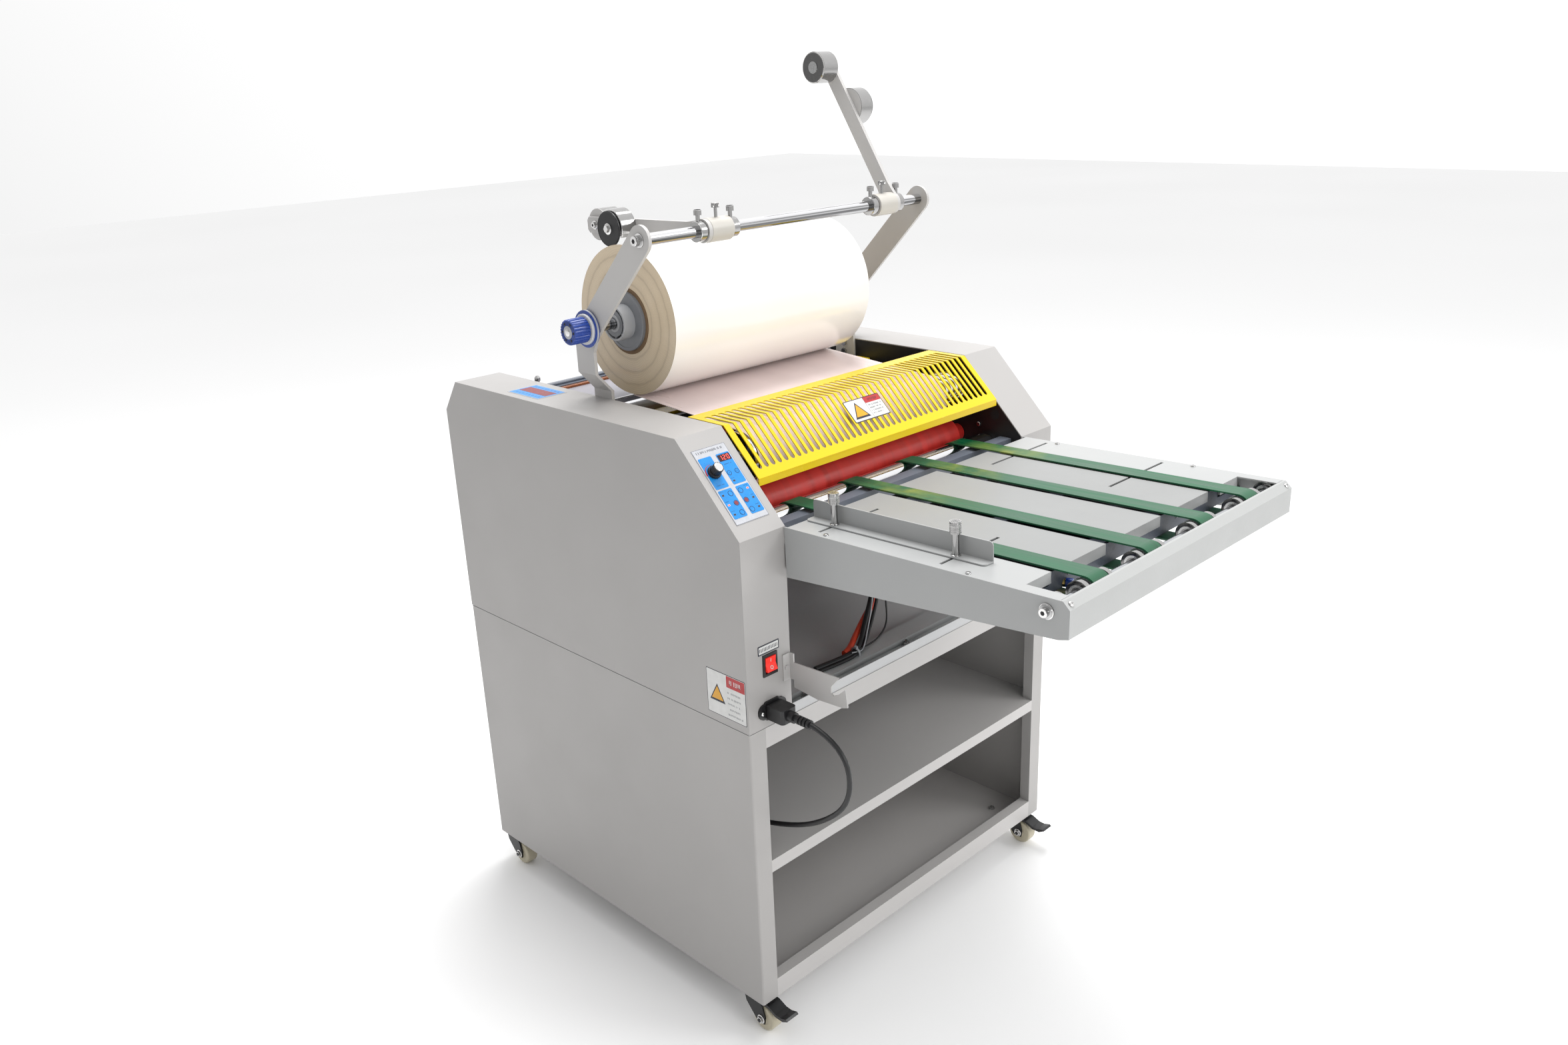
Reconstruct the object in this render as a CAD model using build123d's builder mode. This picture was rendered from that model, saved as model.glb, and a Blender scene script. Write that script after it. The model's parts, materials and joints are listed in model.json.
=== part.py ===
from build123d import *
import math
import os

os.makedirs("parts", exist_ok=True)

# ---------------------------------------------------------------------------
# Driving dimensions, in millimetres.
# Z is height above the floor.  A "station" is a distance behind the front
# face of the cabinet; at() turns a station into a Y of the model, whose origin
# lies on the floor under the middle of the whole machine.
# ---------------------------------------------------------------------------
WIDTH = 680.0
DEPTH = 670.0
TABLE_REACH = 426.0
FRONT_FACE_Y = -(DEPTH - TABLE_REACH) / 2
SHEET = 1.5
RUN_FIT = 0.05

# Lower cabinet
CABINET_Z = 58.0
SEAM_Z = 493.0
CORNER_R = 3.0
OPENING_HALF = 310.6
RAIL_HEIGHT = 30.0
MID_SHELF_Z = 286.5
MID_SHELF_LIP = 19.0
RETURN_DEPTH = 18.0

# Roller housings
DECK_Z = SEAM_Z + SHEET
TOP_Z = 878.0
NOSE_Z = 764.0
SLOPE_STATION = 112.0
CHAMFER_STATION = 633.0
CHAMFER_Z = 829.0
INNER_HALF = 260.0
SIDE_PLATE = 6.0

# Laminating rollers: (station, height)
HEAT_AXIS = (124.0, 821.0)
HEAT_R = 37.5
PRESS_AXIS = (124.0, 751.0)
PRESS_R = 32.0
FACE_HALF = 225.0
JOURNAL_R = 10.0
DRIVE_R = 16.0
PULL_R = 28.0
PULL_UPPER_AXIS = (370.0, 832.0)
PULL_LOWER_AXIS = (370.0, 775.4)

# Feed table: it rises towards the operator, so its parts are placed by a
# station and a height above its top face, which on_table() turns upright.
TABLE_HALF = 263.4
TABLE_PITCH = 0.0289
TABLE_DATUM = (-400.0, 775.2)
TABLE_REAR = -6.0
PLATE_FRONT = -358.5
BELT_AXIS_DROP = -16.0
IDLER_STATION = -397.0
DRIVE_STATION = 66.0
IDLER_R = 16.0
BELT_T = 2.0
BELT_W = 30.0
BELT_X = (-177.0, -61.5, 64.5, 183.0)
GUIDE_X = -212.0

# Film unwind
SUPPLY_AXIS = (348.0, 984.0)
ROLL_R = 107.0
CORE_R = 48.0
CORE_BORE_R = 38.1
ROLL_X = (-218.0, 182.0)
SHAFT_R = 7.5
ARM_HALF = 285.0
ARM_T = 5.0
ARM_W = 40.0
CROSSBAR_AXIS = (223.0, 1112.0)
CROSSBAR_R = 8.0

# Cutters
CUTTER_ARM = 168.0
WEIGHT_ARM = 238.0
CUTTER_WHEEL_R = 24.5
LOWERED_DEG = -1.1
RAISED_DEG = 58.0
LEFT_HUB_X = -150.0
RIGHT_HUB_X = 194.0

# Guard
GUARD_REAR = 181.0
GUARD_FOLD = 110.0
GUARD_NOSE = 47.0
GUARD_NOSE_Z = 817.0
GUARD_LIP_Z = 807.0
GUARD_T = 1.5
GUARD_HALF = 257.5
SLOT_COUNT = 41
SLOT_PITCH = 12.2
SLOT_W = 7.0

# Casters: (side, station) of each swivel axis
CASTER_X = 318.0
CASTER_STATIONS = (34.0, 650.0)
CASTER_TRAIL = 18.0
WHEEL_R = 21.0
WHEEL_W = 20.0
CASTER_PLATE = 3.0

# Mains lead
LEAD_D = 7.0
INLET_X = -298.0
INLET_Z = 518.4
SWITCH_Z = 583.0


# ---------------------------------------------------------------------------
# Helpers: each adds to, or cuts from, the part that is open.
# ---------------------------------------------------------------------------
def at(station):
    return FRONT_FACE_Y + station


def slab(x0, x1, s0, s1, z0, z1, mode=Mode.ADD):
    """A block between two X values, two stations and two heights."""
    with Locations(((x0 + x1) / 2, at((s0 + s1) / 2), (z0 + z1) / 2)):
        Box(x1 - x0, s1 - s0, z1 - z0, mode=mode)


def rod_x(radius, x0, x1, axis, mode=Mode.ADD):
    """A cylinder along X through the point axis = (station, height)."""
    with Locations(Location(((x0 + x1) / 2, at(axis[0]), axis[1]), (0, 90, 0))):
        Cylinder(radius, x1 - x0, mode=mode)


def rod_y(radius, x, s0, s1, z, mode=Mode.ADD):
    """A cylinder along Y between two stations."""
    with Locations(Location((x, at((s0 + s1) / 2), z), (90, 0, 0))):
        Cylinder(radius, s1 - s0, mode=mode)


def rod_z(radius, x, station, z0, z1, mode=Mode.ADD):
    """A vertical cylinder between two heights."""
    with Locations((x, at(station), (z0 + z1) / 2)):
        Cylinder(radius, z1 - z0, mode=mode)


def profile_x(points, x0, x1, mode=Mode.ADD, corner_r=0.0):
    """A side outline of (station, height) points, extruded from x0 to x1."""
    with BuildSketch(Plane.YZ.offset(x0)) as outline:
        with BuildLine():
            Polyline(*[(at(s), z) for s, z in points], close=True)
        make_face()
        if corner_r > 0:
            fillet(outline.vertices(), corner_r)
    extrude(outline.sketch, amount=x1 - x0, mode=mode)


def on_table(station, up):
    """The (station, height) of a point given along the table and above its top."""
    turn = math.atan(TABLE_PITCH)
    along = station - TABLE_DATUM[0]
    return (
        TABLE_DATUM[0] + along * math.cos(turn) + up * math.sin(turn),
        TABLE_DATUM[1] - along * math.sin(turn) + up * math.cos(turn),
    )


def table_slab(x0, x1, s0, s1, up0, up1, mode=Mode.ADD):
    """A block lying along the table."""
    corners = [on_table(s0, up0), on_table(s1, up0), on_table(s1, up1), on_table(s0, up1)]
    profile_x(corners, min(x0, x1), max(x0, x1), mode)


DRIVE_AXIS = on_table(DRIVE_STATION, BELT_AXIS_DROP)
IDLER_AXIS = on_table(IDLER_STATION, BELT_AXIS_DROP)


def save(builder, label):
    builder.part.label = label
    export_step(builder.part, "parts/" + label + ".step")


HOUSING_OUTLINE = [
    (0, DECK_Z), (0, NOSE_Z), (SLOPE_STATION, TOP_Z),
    (CHAMFER_STATION, TOP_Z), (DEPTH, CHAMFER_Z), (DEPTH, DECK_Z),
]


def housing_outline(inset):
    """The housing's side outline, drawn in by a sheet thickness."""
    run = SLOPE_STATION
    rise = TOP_Z - NOSE_Z
    slope = math.hypot(run, rise)
    nose = inset * (slope - rise) / run
    crest = inset * (slope - run) / rise
    back_run = DEPTH - CHAMFER_STATION
    back_rise = TOP_Z - CHAMFER_Z
    back = math.hypot(back_run, back_rise)
    brow = inset * (back - back_run) / back_rise
    heel = inset * (back - back_rise) / back_run
    return [
        (inset, DECK_Z), (inset, NOSE_Z - nose), (SLOPE_STATION + crest, TOP_Z - inset),
        (CHAMFER_STATION - brow, TOP_Z - inset), (DEPTH - inset, CHAMFER_Z - heel),
        (DEPTH - inset, DECK_Z),
    ]


# ---------------------------------------------------------------------------
# Lower cabinet: a folded shell, open at the front, with two shelves
# ---------------------------------------------------------------------------
with BuildPart() as cabinet_shell:
    with BuildSketch(Plane.XY.offset(CABINET_Z)):
        with Locations((0, at(DEPTH / 2))):
            RectangleRounded(WIDTH, DEPTH, CORNER_R)
    extrude(amount=SEAM_Z - CABINET_Z)
    slab(-WIDTH / 2 + SHEET, WIDTH / 2 - SHEET, SHEET, DEPTH - SHEET, CABINET_Z - 1, SEAM_Z + 1, Mode.SUBTRACT)
    slab(-OPENING_HALF, OPENING_HALF, -1, SHEET + 1, CABINET_Z - 1, SEAM_Z + 1, Mode.SUBTRACT)
    for side in (-1, 1):
        inner = side * OPENING_HALF
        outer = side * (OPENING_HALF + SHEET)
        slab(min(inner, outer), max(inner, outer), SHEET, RETURN_DEPTH, CABINET_Z, SEAM_Z)
save(cabinet_shell, "cabinet_shell")

with BuildPart() as cabinet_shelves:
    inside = WIDTH / 2 - SHEET
    slab(-inside, inside, RETURN_DEPTH, DEPTH - SHEET, CABINET_Z, CABINET_Z + SHEET)
    slab(-OPENING_HALF, OPENING_HALF, SHEET, RETURN_DEPTH, CABINET_Z, CABINET_Z + SHEET)
    slab(-inside, inside, RETURN_DEPTH, DEPTH - SHEET, MID_SHELF_Z - SHEET, MID_SHELF_Z)
    slab(-OPENING_HALF, OPENING_HALF, 0, RETURN_DEPTH, MID_SHELF_Z - SHEET, MID_SHELF_Z)
    slab(-OPENING_HALF, OPENING_HALF, 0, SHEET, MID_SHELF_Z - MID_SHELF_LIP, MID_SHELF_Z - SHEET)
    slab(-OPENING_HALF, OPENING_HALF, SHEET, RETURN_DEPTH, MID_SHELF_Z - MID_SHELF_LIP,
         MID_SHELF_Z - MID_SHELF_LIP + SHEET)
    # folded rails across the front, above and below the bays
    for low, lip_z in ((SEAM_Z - RAIL_HEIGHT, SEAM_Z - RAIL_HEIGHT), (CABINET_Z, CABINET_Z + RAIL_HEIGHT - SHEET)):
        slab(-OPENING_HALF, OPENING_HALF, 0, SHEET, low, low + RAIL_HEIGHT)
        slab(-OPENING_HALF, OPENING_HALF, SHEET, RETURN_DEPTH, lip_z, lip_z + SHEET)
save(cabinet_shelves, "cabinet_shelves")

# The deck closes the cabinet and carries the two roller housings.
GUTTER_STATION = 27.0
PLATEAU_STATION = 62.0
PLATEAU_RISE = 8.0
BAY_LIP_Z = 508.5
with BuildPart() as bay_deck:
    slab(-WIDTH / 2 + 1, WIDTH / 2 - 1, 1, DEPTH - 1, SEAM_Z, DECK_Z)
    slab(-INNER_HALF + 0.5, INNER_HALF - 0.5, 1, 1 + SHEET, DECK_Z, BAY_LIP_Z)
    slab(-INNER_HALF + 0.5, INNER_HALF - 0.5, GUTTER_STATION, GUTTER_STATION + SHEET, DECK_Z,
         DECK_Z + PLATEAU_RISE)
    slab(-INNER_HALF + 0.5, INNER_HALF - 0.5, GUTTER_STATION, PLATEAU_STATION,
         DECK_Z + PLATEAU_RISE - SHEET, DECK_Z + PLATEAU_RISE)
    slab(-INNER_HALF + 0.5, INNER_HALF - 0.5, PLATEAU_STATION - SHEET, PLATEAU_STATION, DECK_Z,
         DECK_Z + PLATEAU_RISE)
save(bay_deck, "bay_deck")

# ---------------------------------------------------------------------------
# Roller housings: sheet covers outside, black plates that carry the rollers
# ---------------------------------------------------------------------------
with BuildPart() as housing_covers:
    for side in (-1, 1):
        outer = side * WIDTH / 2
        rim = side * INNER_HALF
        skin = side * (WIDTH / 2 - SHEET)
        profile_x(HOUSING_OUTLINE, min(outer, rim), max(outer, rim))
        profile_x(housing_outline(SHEET), min(skin, rim), max(skin, rim), Mode.SUBTRACT)
        slab(min(skin, rim), max(skin, rim), SHEET, DEPTH - SHEET, DECK_Z - 1, DECK_Z + 3, Mode.SUBTRACT)
    # Cut-outs in the left cover's front face: mains inlet and power switch
    slab(INLET_X - 13.7, INLET_X + 13.7, -1, SHEET + 1, INLET_Z - 10, INLET_Z + 10, Mode.SUBTRACT)
    slab(INLET_X - 11, INLET_X + 11, -1, SHEET + 1, SWITCH_Z - 13.9, SWITCH_Z + 13.9, Mode.SUBTRACT)
save(housing_covers, "housing_covers")

GUARD_PIVOT = (GUARD_REAR - 4.0, TOP_Z - 5.0)
GUARD_PIN_R = 3.0
BEARING_BORE = JOURNAL_R + RUN_FIT
with BuildPart() as side_plates:
    for side in (-1, 1):
        rim = side * INNER_HALF
        back = side * (INNER_HALF + SIDE_PLATE)
        low, high = min(rim, back), max(rim, back)
        profile_x(housing_outline(SHEET), low, high)
        for axis in (HEAT_AXIS, PRESS_AXIS):
            rod_x(BEARING_BORE, low - 1, high + 1, axis, Mode.SUBTRACT)
        for axis in (PULL_UPPER_AXIS, PULL_LOWER_AXIS, DRIVE_AXIS):
            rod_x(8.0 + RUN_FIT, low - 1, high + 1, axis, Mode.SUBTRACT)
        rod_x(GUARD_PIN_R + RUN_FIT, low - 1, high + 1, GUARD_PIVOT, Mode.SUBTRACT)
save(side_plates, "side_plates")

# Cross members between the side plates, and the bars under the table
# Square bars: (front station, rear station, low, high); the last two make the
# stepped bar across the rear of the top.
TIE_HALF = INNER_HALF
SQUARE_BARS = ((20, 40, 739, 758), (280, 310, 640, 670), (531, 563, 842, 862), (539, 549, 862, 866))
ROUND_BAR_R = 9.0
ROUND_BAR_AXIS = (225.0, 700.0)
with BuildPart() as tie_bars:
    for s0, s1, low, high in SQUARE_BARS:
        slab(-TIE_HALF, TIE_HALF, s0, s1, low, high)
    rod_x(ROUND_BAR_R, -TIE_HALF, TIE_HALF, ROUND_BAR_AXIS)
    chamfer(tie_bars.edges().filter_by(Axis.X).group_by(Axis.Z)[-1], 1.5)
save(tie_bars, "tie_bars")

COVER_HALF = INNER_HALF - 0.5
COVER_TOP_Z = 700.0
COVER_STATIONS = (634.0, 652.0)
with BuildPart() as rear_cover:
    fold, face = COVER_STATIONS
    slab(-COVER_HALF, COVER_HALF, face, face + SHEET, DECK_Z, COVER_TOP_Z)
    slab(-COVER_HALF, COVER_HALF, fold, face, COVER_TOP_Z - SHEET, COVER_TOP_Z)
    slab(-COVER_HALF, COVER_HALF, fold, face, DECK_Z, DECK_Z + SHEET)
save(rear_cover, "rear_cover")

# Flat cover between the pull rollers and the rear bar
TOP_COVER_STATIONS = (400.0, 528.0)
TOP_COVER_Z = 856.0
TOP_COVER_FOLD = 12.0
with BuildPart() as top_cover:
    front, rear = TOP_COVER_STATIONS
    fold_z = TOP_COVER_Z - TOP_COVER_FOLD
    slab(-COVER_HALF, COVER_HALF, front, rear, TOP_COVER_Z, TOP_COVER_Z + SHEET)
    slab(-COVER_HALF, COVER_HALF, front, front + SHEET, fold_z, TOP_COVER_Z)
    slab(-COVER_HALF, COVER_HALF, rear - SHEET, rear, fold_z, TOP_COVER_Z)
save(top_cover, "top_cover")

# ---------------------------------------------------------------------------
# Rollers
# ---------------------------------------------------------------------------
JOURNAL_END = INNER_HALF + SIDE_PLATE
GEAR_X = JOURNAL_END + 4.0
GEAR_W = 10.0
GEAR_R = 34.0


def roller(face_r, journal_r, face_half, axis, tail=4.0):
    """A plain roller with a journal through each side plate."""
    rod_x(face_r, -face_half, face_half, axis)
    rod_x(journal_r, -JOURNAL_END - tail, JOURNAL_END + tail, axis)
    rod_x(journal_r + 4, face_half, INNER_HALF - 1, axis)
    rod_x(journal_r + 4, -INNER_HALF + 1, -face_half, axis)


with BuildPart() as heat_roller:
    roller(HEAT_R, JOURNAL_R, FACE_HALF, HEAT_AXIS, 18.0)
    rod_x(GEAR_R, -GEAR_X - GEAR_W, -GEAR_X, HEAT_AXIS)
save(heat_roller, "heat_roller")

with BuildPart() as pressure_roller:
    roller(PRESS_R, JOURNAL_R, FACE_HALF, PRESS_AXIS, 18.0)
    rod_x(GEAR_R, -GEAR_X - GEAR_W, -GEAR_X, PRESS_AXIS)
save(pressure_roller, "pressure_roller")

with BuildPart() as drive_roller:
    roller(DRIVE_R, 8.0, 248.0, DRIVE_AXIS)
save(drive_roller, "drive_roller")

with BuildPart() as pull_roller_upper:
    roller(PULL_R, 8.0, 235.0, PULL_UPPER_AXIS)
save(pull_roller_upper, "pull_roller_upper")

with BuildPart() as pull_roller_lower:
    roller(PULL_R, 8.0, 235.0, PULL_LOWER_AXIS)
save(pull_roller_lower, "pull_roller_lower")

# Gear motor on the outer face of the left side plate
MOTOR_AXIS = (236.0, 680.0)
MOTOR_R = 30.0
MOTOR_T = 24.0
GEARBOX_HALF = 40.0
GEARBOX_T = 44.0
with BuildPart() as drive_motor:
    gearbox_end = -JOURNAL_END - GEARBOX_T
    slab(gearbox_end, -JOURNAL_END, MOTOR_AXIS[0] - GEARBOX_HALF, MOTOR_AXIS[0] + GEARBOX_HALF,
         MOTOR_AXIS[1] - GEARBOX_HALF, MOTOR_AXIS[1] + GEARBOX_HALF)
    rod_x(MOTOR_R, gearbox_end - MOTOR_T, gearbox_end, MOTOR_AXIS)
save(drive_motor, "drive_motor")

# ---------------------------------------------------------------------------
# Feed table
# ---------------------------------------------------------------------------
TABLE_T = 2.0
FRONT = -TABLE_REACH
NOSE_LOW_Z = 733.5
NOSE_HIGH_Z = 767.0
NOSE_BEND = -417.0
NOSE_HEM = -413.5
NOSE_RETURN = 22.0
WEB_REAR = -1.5
WEB_DROP_FRONT = -46.0
WEB_DROP_REAR = -69.0
WEB_LOW_FRONT = -411.0
BRACKET_UP = (-58.0, -25.5)
BRACKET_STATIONS = (-40.0, 17.0)
BRACKET_T = 2.5
SHAFT_SLOT_HALF = 9.0
CROSS_STATIONS = (-334.0, -190.0, -44.0)
CROSS_W = 20.0
CROSS_LOW = -25.0
PAN_REAR = -60.0
PAN_UP = -28.0
SIDE_FLANGE = 18.0
PLATE_SPANS = ((-163.5, -84.0), (-42.0, 42.0), (84.0, 163.5))
SIDE_PLATE_X = 197.5
PLATE_FOLD = 14.0
SLOT_STATIONS = (-51.5, -244.0)
SIDE_SLOT_X = (196.0, 251.0)
PLATE_SLOTS_X = ((-165.0, -138.0), (112.0, 165.0))
SLOT_HALF = 2.2

with BuildPart() as table_sides:
    for side in (-1, 1):
        out = side * TABLE_HALF
        web = side * (TABLE_HALF - TABLE_T)
        flange = side * (TABLE_HALF - SIDE_FLANGE)
        shelf = side * SIDE_PLATE_X
        panel = [
            (FRONT, NOSE_LOW_Z), (FRONT, NOSE_HIGH_Z), on_table(NOSE_BEND, 0), on_table(WEB_REAR, 0),
            on_table(WEB_REAR, WEB_DROP_REAR), on_table(WEB_LOW_FRONT, WEB_DROP_FRONT),
        ]
        profile_x(panel, min(out, web), max(out, web))
        table_slab(web, flange, NOSE_HEM + 0.5, TABLE_REAR, -TABLE_T, 0)
        table_slab(flange, shelf, PLATE_FRONT, TABLE_REAR, -TABLE_T, 0)
        table_slab(flange, shelf, PLATE_FRONT, PLATE_FRONT + TABLE_T, -PLATE_FOLD, -TABLE_T)
        table_slab(shelf, shelf + side * TABLE_T, PLATE_FRONT + TABLE_T, TABLE_REAR, -PLATE_FOLD, -TABLE_T)
        for station in SLOT_STATIONS:
            table_slab(side * SIDE_SLOT_X[0], side * SIDE_SLOT_X[1], station - SLOT_HALF, station + SLOT_HALF,
                       -5, 1, Mode.SUBTRACT)
        # tension slot for the idler shaft
        table_slab(out + side, web - side, IDLER_STATION - SHAFT_SLOT_HALF, IDLER_STATION + SHAFT_SLOT_HALF,
                   BELT_AXIS_DROP - 4.1, BELT_AXIS_DROP + 4.1, Mode.SUBTRACT)
        # bracket that joins the table to the black side plate
        start, end = BRACKET_STATIONS
        table_slab(web, side * INNER_HALF, start, WEB_REAR, *BRACKET_UP)
        table_slab(side * INNER_HALF, side * (INNER_HALF - BRACKET_T), start, end, *BRACKET_UP)
save(table_sides, "table_sides")

with BuildPart() as table_plates:
    for left, right in PLATE_SPANS:
        table_slab(left, right, PLATE_FRONT, TABLE_REAR, -TABLE_T, 0)
        table_slab(left, right, PLATE_FRONT, PLATE_FRONT + TABLE_T, -PLATE_FOLD, -TABLE_T)
        table_slab(left, left + TABLE_T, PLATE_FRONT + 5, TABLE_REAR, -PLATE_FOLD, -TABLE_T)
        table_slab(right - TABLE_T, right, PLATE_FRONT + 5, TABLE_REAR, -PLATE_FOLD, -TABLE_T)
    for low, high in PLATE_SLOTS_X:
        for station in SLOT_STATIONS:
            table_slab(low, high, station - SLOT_HALF, station + SLOT_HALF, -5, 1, Mode.SUBTRACT)
save(table_plates, "table_plates")

with BuildPart() as table_rails:
    web = TABLE_HALF - TABLE_T
    nose = [
        (FRONT, NOSE_LOW_Z), (FRONT, NOSE_HIGH_Z), on_table(NOSE_BEND, 0), on_table(NOSE_HEM, 0),
        on_table(NOSE_HEM, -TABLE_T), on_table(NOSE_BEND + 1, -TABLE_T), (FRONT + TABLE_T, NOSE_HIGH_Z - 1),
        (FRONT + TABLE_T, NOSE_LOW_Z + TABLE_T), (FRONT + NOSE_RETURN, NOSE_LOW_Z + TABLE_T),
        (FRONT + NOSE_RETURN, NOSE_LOW_Z),
    ]
    profile_x(nose, -web, web)
    # bars across the table, between the upper and lower runs of the belts
    for station in CROSS_STATIONS:
        table_slab(-web, web, station, station + CROSS_W, CROSS_LOW, -PLATE_FOLD - 0.5)
    # folded pan whose front edge stands right behind the front edges of the plates
    pan_front = PLATE_FRONT + 3.2
    pan_edge_up = -PLATE_FOLD - 4
    table_slab(-SIDE_PLATE_X, SIDE_PLATE_X, pan_front, pan_front + SHEET, pan_edge_up, -TABLE_T - 0.6)
    table_slab(-web, web, pan_front, PAN_REAR, PAN_UP, PAN_UP + SHEET)
    table_slab(-web, web, pan_front, pan_front + SHEET, PAN_UP + SHEET, pan_edge_up)
save(table_rails, "table_rails")

with BuildPart() as idler_shaft:
    rod_x(6.0, -TABLE_HALF + TABLE_T + 0.5, TABLE_HALF - TABLE_T - 0.5, IDLER_AXIS)
    rod_x(4.0, -TABLE_HALF, TABLE_HALF, IDLER_AXIS)
    for x in BELT_X:
        rod_x(IDLER_R, x - 17, x + 17, IDLER_AXIS)
        rod_x(IDLER_R - 5, x - 21, x + 21, IDLER_AXIS)
save(idler_shaft, "idler_shaft")

BELT_GAP = 0.1
with BuildPart() as feed_belts:
    for x in BELT_X:
        for grow, mode in ((BELT_T + BELT_GAP, Mode.ADD), (BELT_GAP, Mode.SUBTRACT)):
            rod_x(DRIVE_R + grow, x - BELT_W / 2, x + BELT_W / 2, DRIVE_AXIS, mode)
            rod_x(IDLER_R + grow, x - BELT_W / 2, x + BELT_W / 2, IDLER_AXIS, mode)
            table_slab(x - BELT_W / 2, x + BELT_W / 2, IDLER_STATION, DRIVE_STATION,
                       BELT_AXIS_DROP - DRIVE_R - grow, BELT_AXIS_DROP + DRIVE_R + grow, mode)
save(feed_belts, "feed_belts")

# Side guide: an angle of sheet held by two long thumb screws
GUIDE_UP = 0.5
GUIDE_STATIONS = (-291.0, -7.0)
GUIDE_HEIGHT = 25.5
GUIDE_FOOT = 17.5
GUIDE_T = 1.5
SCREW_X = -221.8
SCREW_SHANK_R = 4.2
SCREW_HEAD_R = 6.8
SCREW_THREAD_R = 1.8
SCREW_HEAD_UP = (29.3, 44.3)
THREAD_END = -12.0
table_turn = math.degrees(math.atan(TABLE_PITCH))


def table_rod(radius, x, station, up0, up1, mode=Mode.ADD):
    """A cylinder square to the table's top, between two heights above it."""
    middle = on_table(station, (up0 + up1) / 2)
    with Locations(Location((x, at(middle[0]), middle[1]), (-table_turn, 0, 0))):
        Cylinder(radius, up1 - up0, mode=mode)


with BuildPart() as side_guide:
    foot_top = GUIDE_UP + GUIDE_T
    table_slab(GUIDE_X - GUIDE_FOOT, GUIDE_X, GUIDE_STATIONS[0], GUIDE_STATIONS[1], GUIDE_UP, foot_top)
    corners = side_guide.edges().filter_by(lambda edge: edge.length < GUIDE_T + 0.1).group_by(Axis.X)[0]
    fillet(corners, 6)
    plate = [
        on_table(GUIDE_STATIONS[0], foot_top), on_table(GUIDE_STATIONS[0], GUIDE_HEIGHT - 4),
        on_table(GUIDE_STATIONS[0] + 1.2, GUIDE_HEIGHT - 1.2), on_table(GUIDE_STATIONS[0] + 4, GUIDE_HEIGHT),
        on_table(GUIDE_STATIONS[1] - 4, GUIDE_HEIGHT), on_table(GUIDE_STATIONS[1] - 1.2, GUIDE_HEIGHT - 1.2),
        on_table(GUIDE_STATIONS[1], GUIDE_HEIGHT - 4), on_table(GUIDE_STATIONS[1], foot_top),
    ]
    profile_x(plate, GUIDE_X - GUIDE_T, GUIDE_X)
    for station in SLOT_STATIONS:
        table_rod(2.6, SCREW_X, station, -1, 5, Mode.SUBTRACT)
save(side_guide, "side_guide")


def thumb_screw(builder_name, station):
    """A long knurled thumb screw that clamps the side guide."""
    with BuildPart() as screw:
        table_rod(SCREW_SHANK_R, SCREW_X, station, GUIDE_UP + GUIDE_T + 0.2, SCREW_HEAD_UP[0])
        table_rod(SCREW_HEAD_R, SCREW_X, station, *SCREW_HEAD_UP)
        table_rod(SCREW_THREAD_R, SCREW_X, station, THREAD_END, GUIDE_UP + GUIDE_T + 0.2)
    save(screw, builder_name)


thumb_screw("guide_screw_rear", SLOT_STATIONS[0])
thumb_screw("guide_screw_front", SLOT_STATIONS[1])

# ---------------------------------------------------------------------------
# Slotted safety guard over the laminating rollers
# ---------------------------------------------------------------------------
GUARD_TOP = TOP_Z
with BuildPart() as guard:
    sheet_line = [
        (GUARD_REAR, GUARD_TOP), (GUARD_FOLD, GUARD_TOP), (GUARD_NOSE, GUARD_NOSE_Z), (GUARD_NOSE, GUARD_LIP_Z),
        (GUARD_NOSE + GUARD_T, GUARD_LIP_Z), (GUARD_NOSE + GUARD_T, GUARD_NOSE_Z - 0.6),
        (GUARD_FOLD + 0.6, GUARD_TOP - GUARD_T), (GUARD_REAR, GUARD_TOP - GUARD_T),
    ]
    profile_x(sheet_line, -GUARD_HALF, GUARD_HALF)
    slot_end_top = GUARD_REAR - 20.0
    slot_end_low = GUARD_NOSE + 9.0
    with BuildSketch(Plane.XY.offset(GUARD_NOSE_Z - 30)) as slots:
        with Locations((0, at((slot_end_top + slot_end_low) / 2))):
            with GridLocations(SLOT_PITCH, 1, SLOT_COUNT, 1):
                SlotOverall(slot_end_top - slot_end_low, SLOT_W, rotation=90)
    extrude(slots.sketch, amount=120, mode=Mode.SUBTRACT)
    for side in (-1, 1):
        ear = side * GUARD_HALF
        web = side * (GUARD_HALF - 2)
        ear_outline = [
            (GUARD_REAR, GUARD_TOP - GUARD_T), (GUARD_REAR - 18, GUARD_TOP - GUARD_T),
            (GUARD_REAR - 18, GUARD_TOP - 15), (GUARD_REAR, GUARD_TOP - 15),
        ]
        profile_x(ear_outline, min(ear, web), max(ear, web))
        pin = side * (INNER_HALF + SIDE_PLATE - 1)
        rod_x(GUARD_PIN_R, min(web, pin), max(web, pin), GUARD_PIVOT)
save(guard, "guard")

# ---------------------------------------------------------------------------
# Film unwind: arms, crossbar, shaft, core and roll
# ---------------------------------------------------------------------------
ARM_BASE_STATION = 363.0
ARM_ROOT_Z = 846.0
JOGGLE_Z = (890.0, 918.0)


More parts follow.
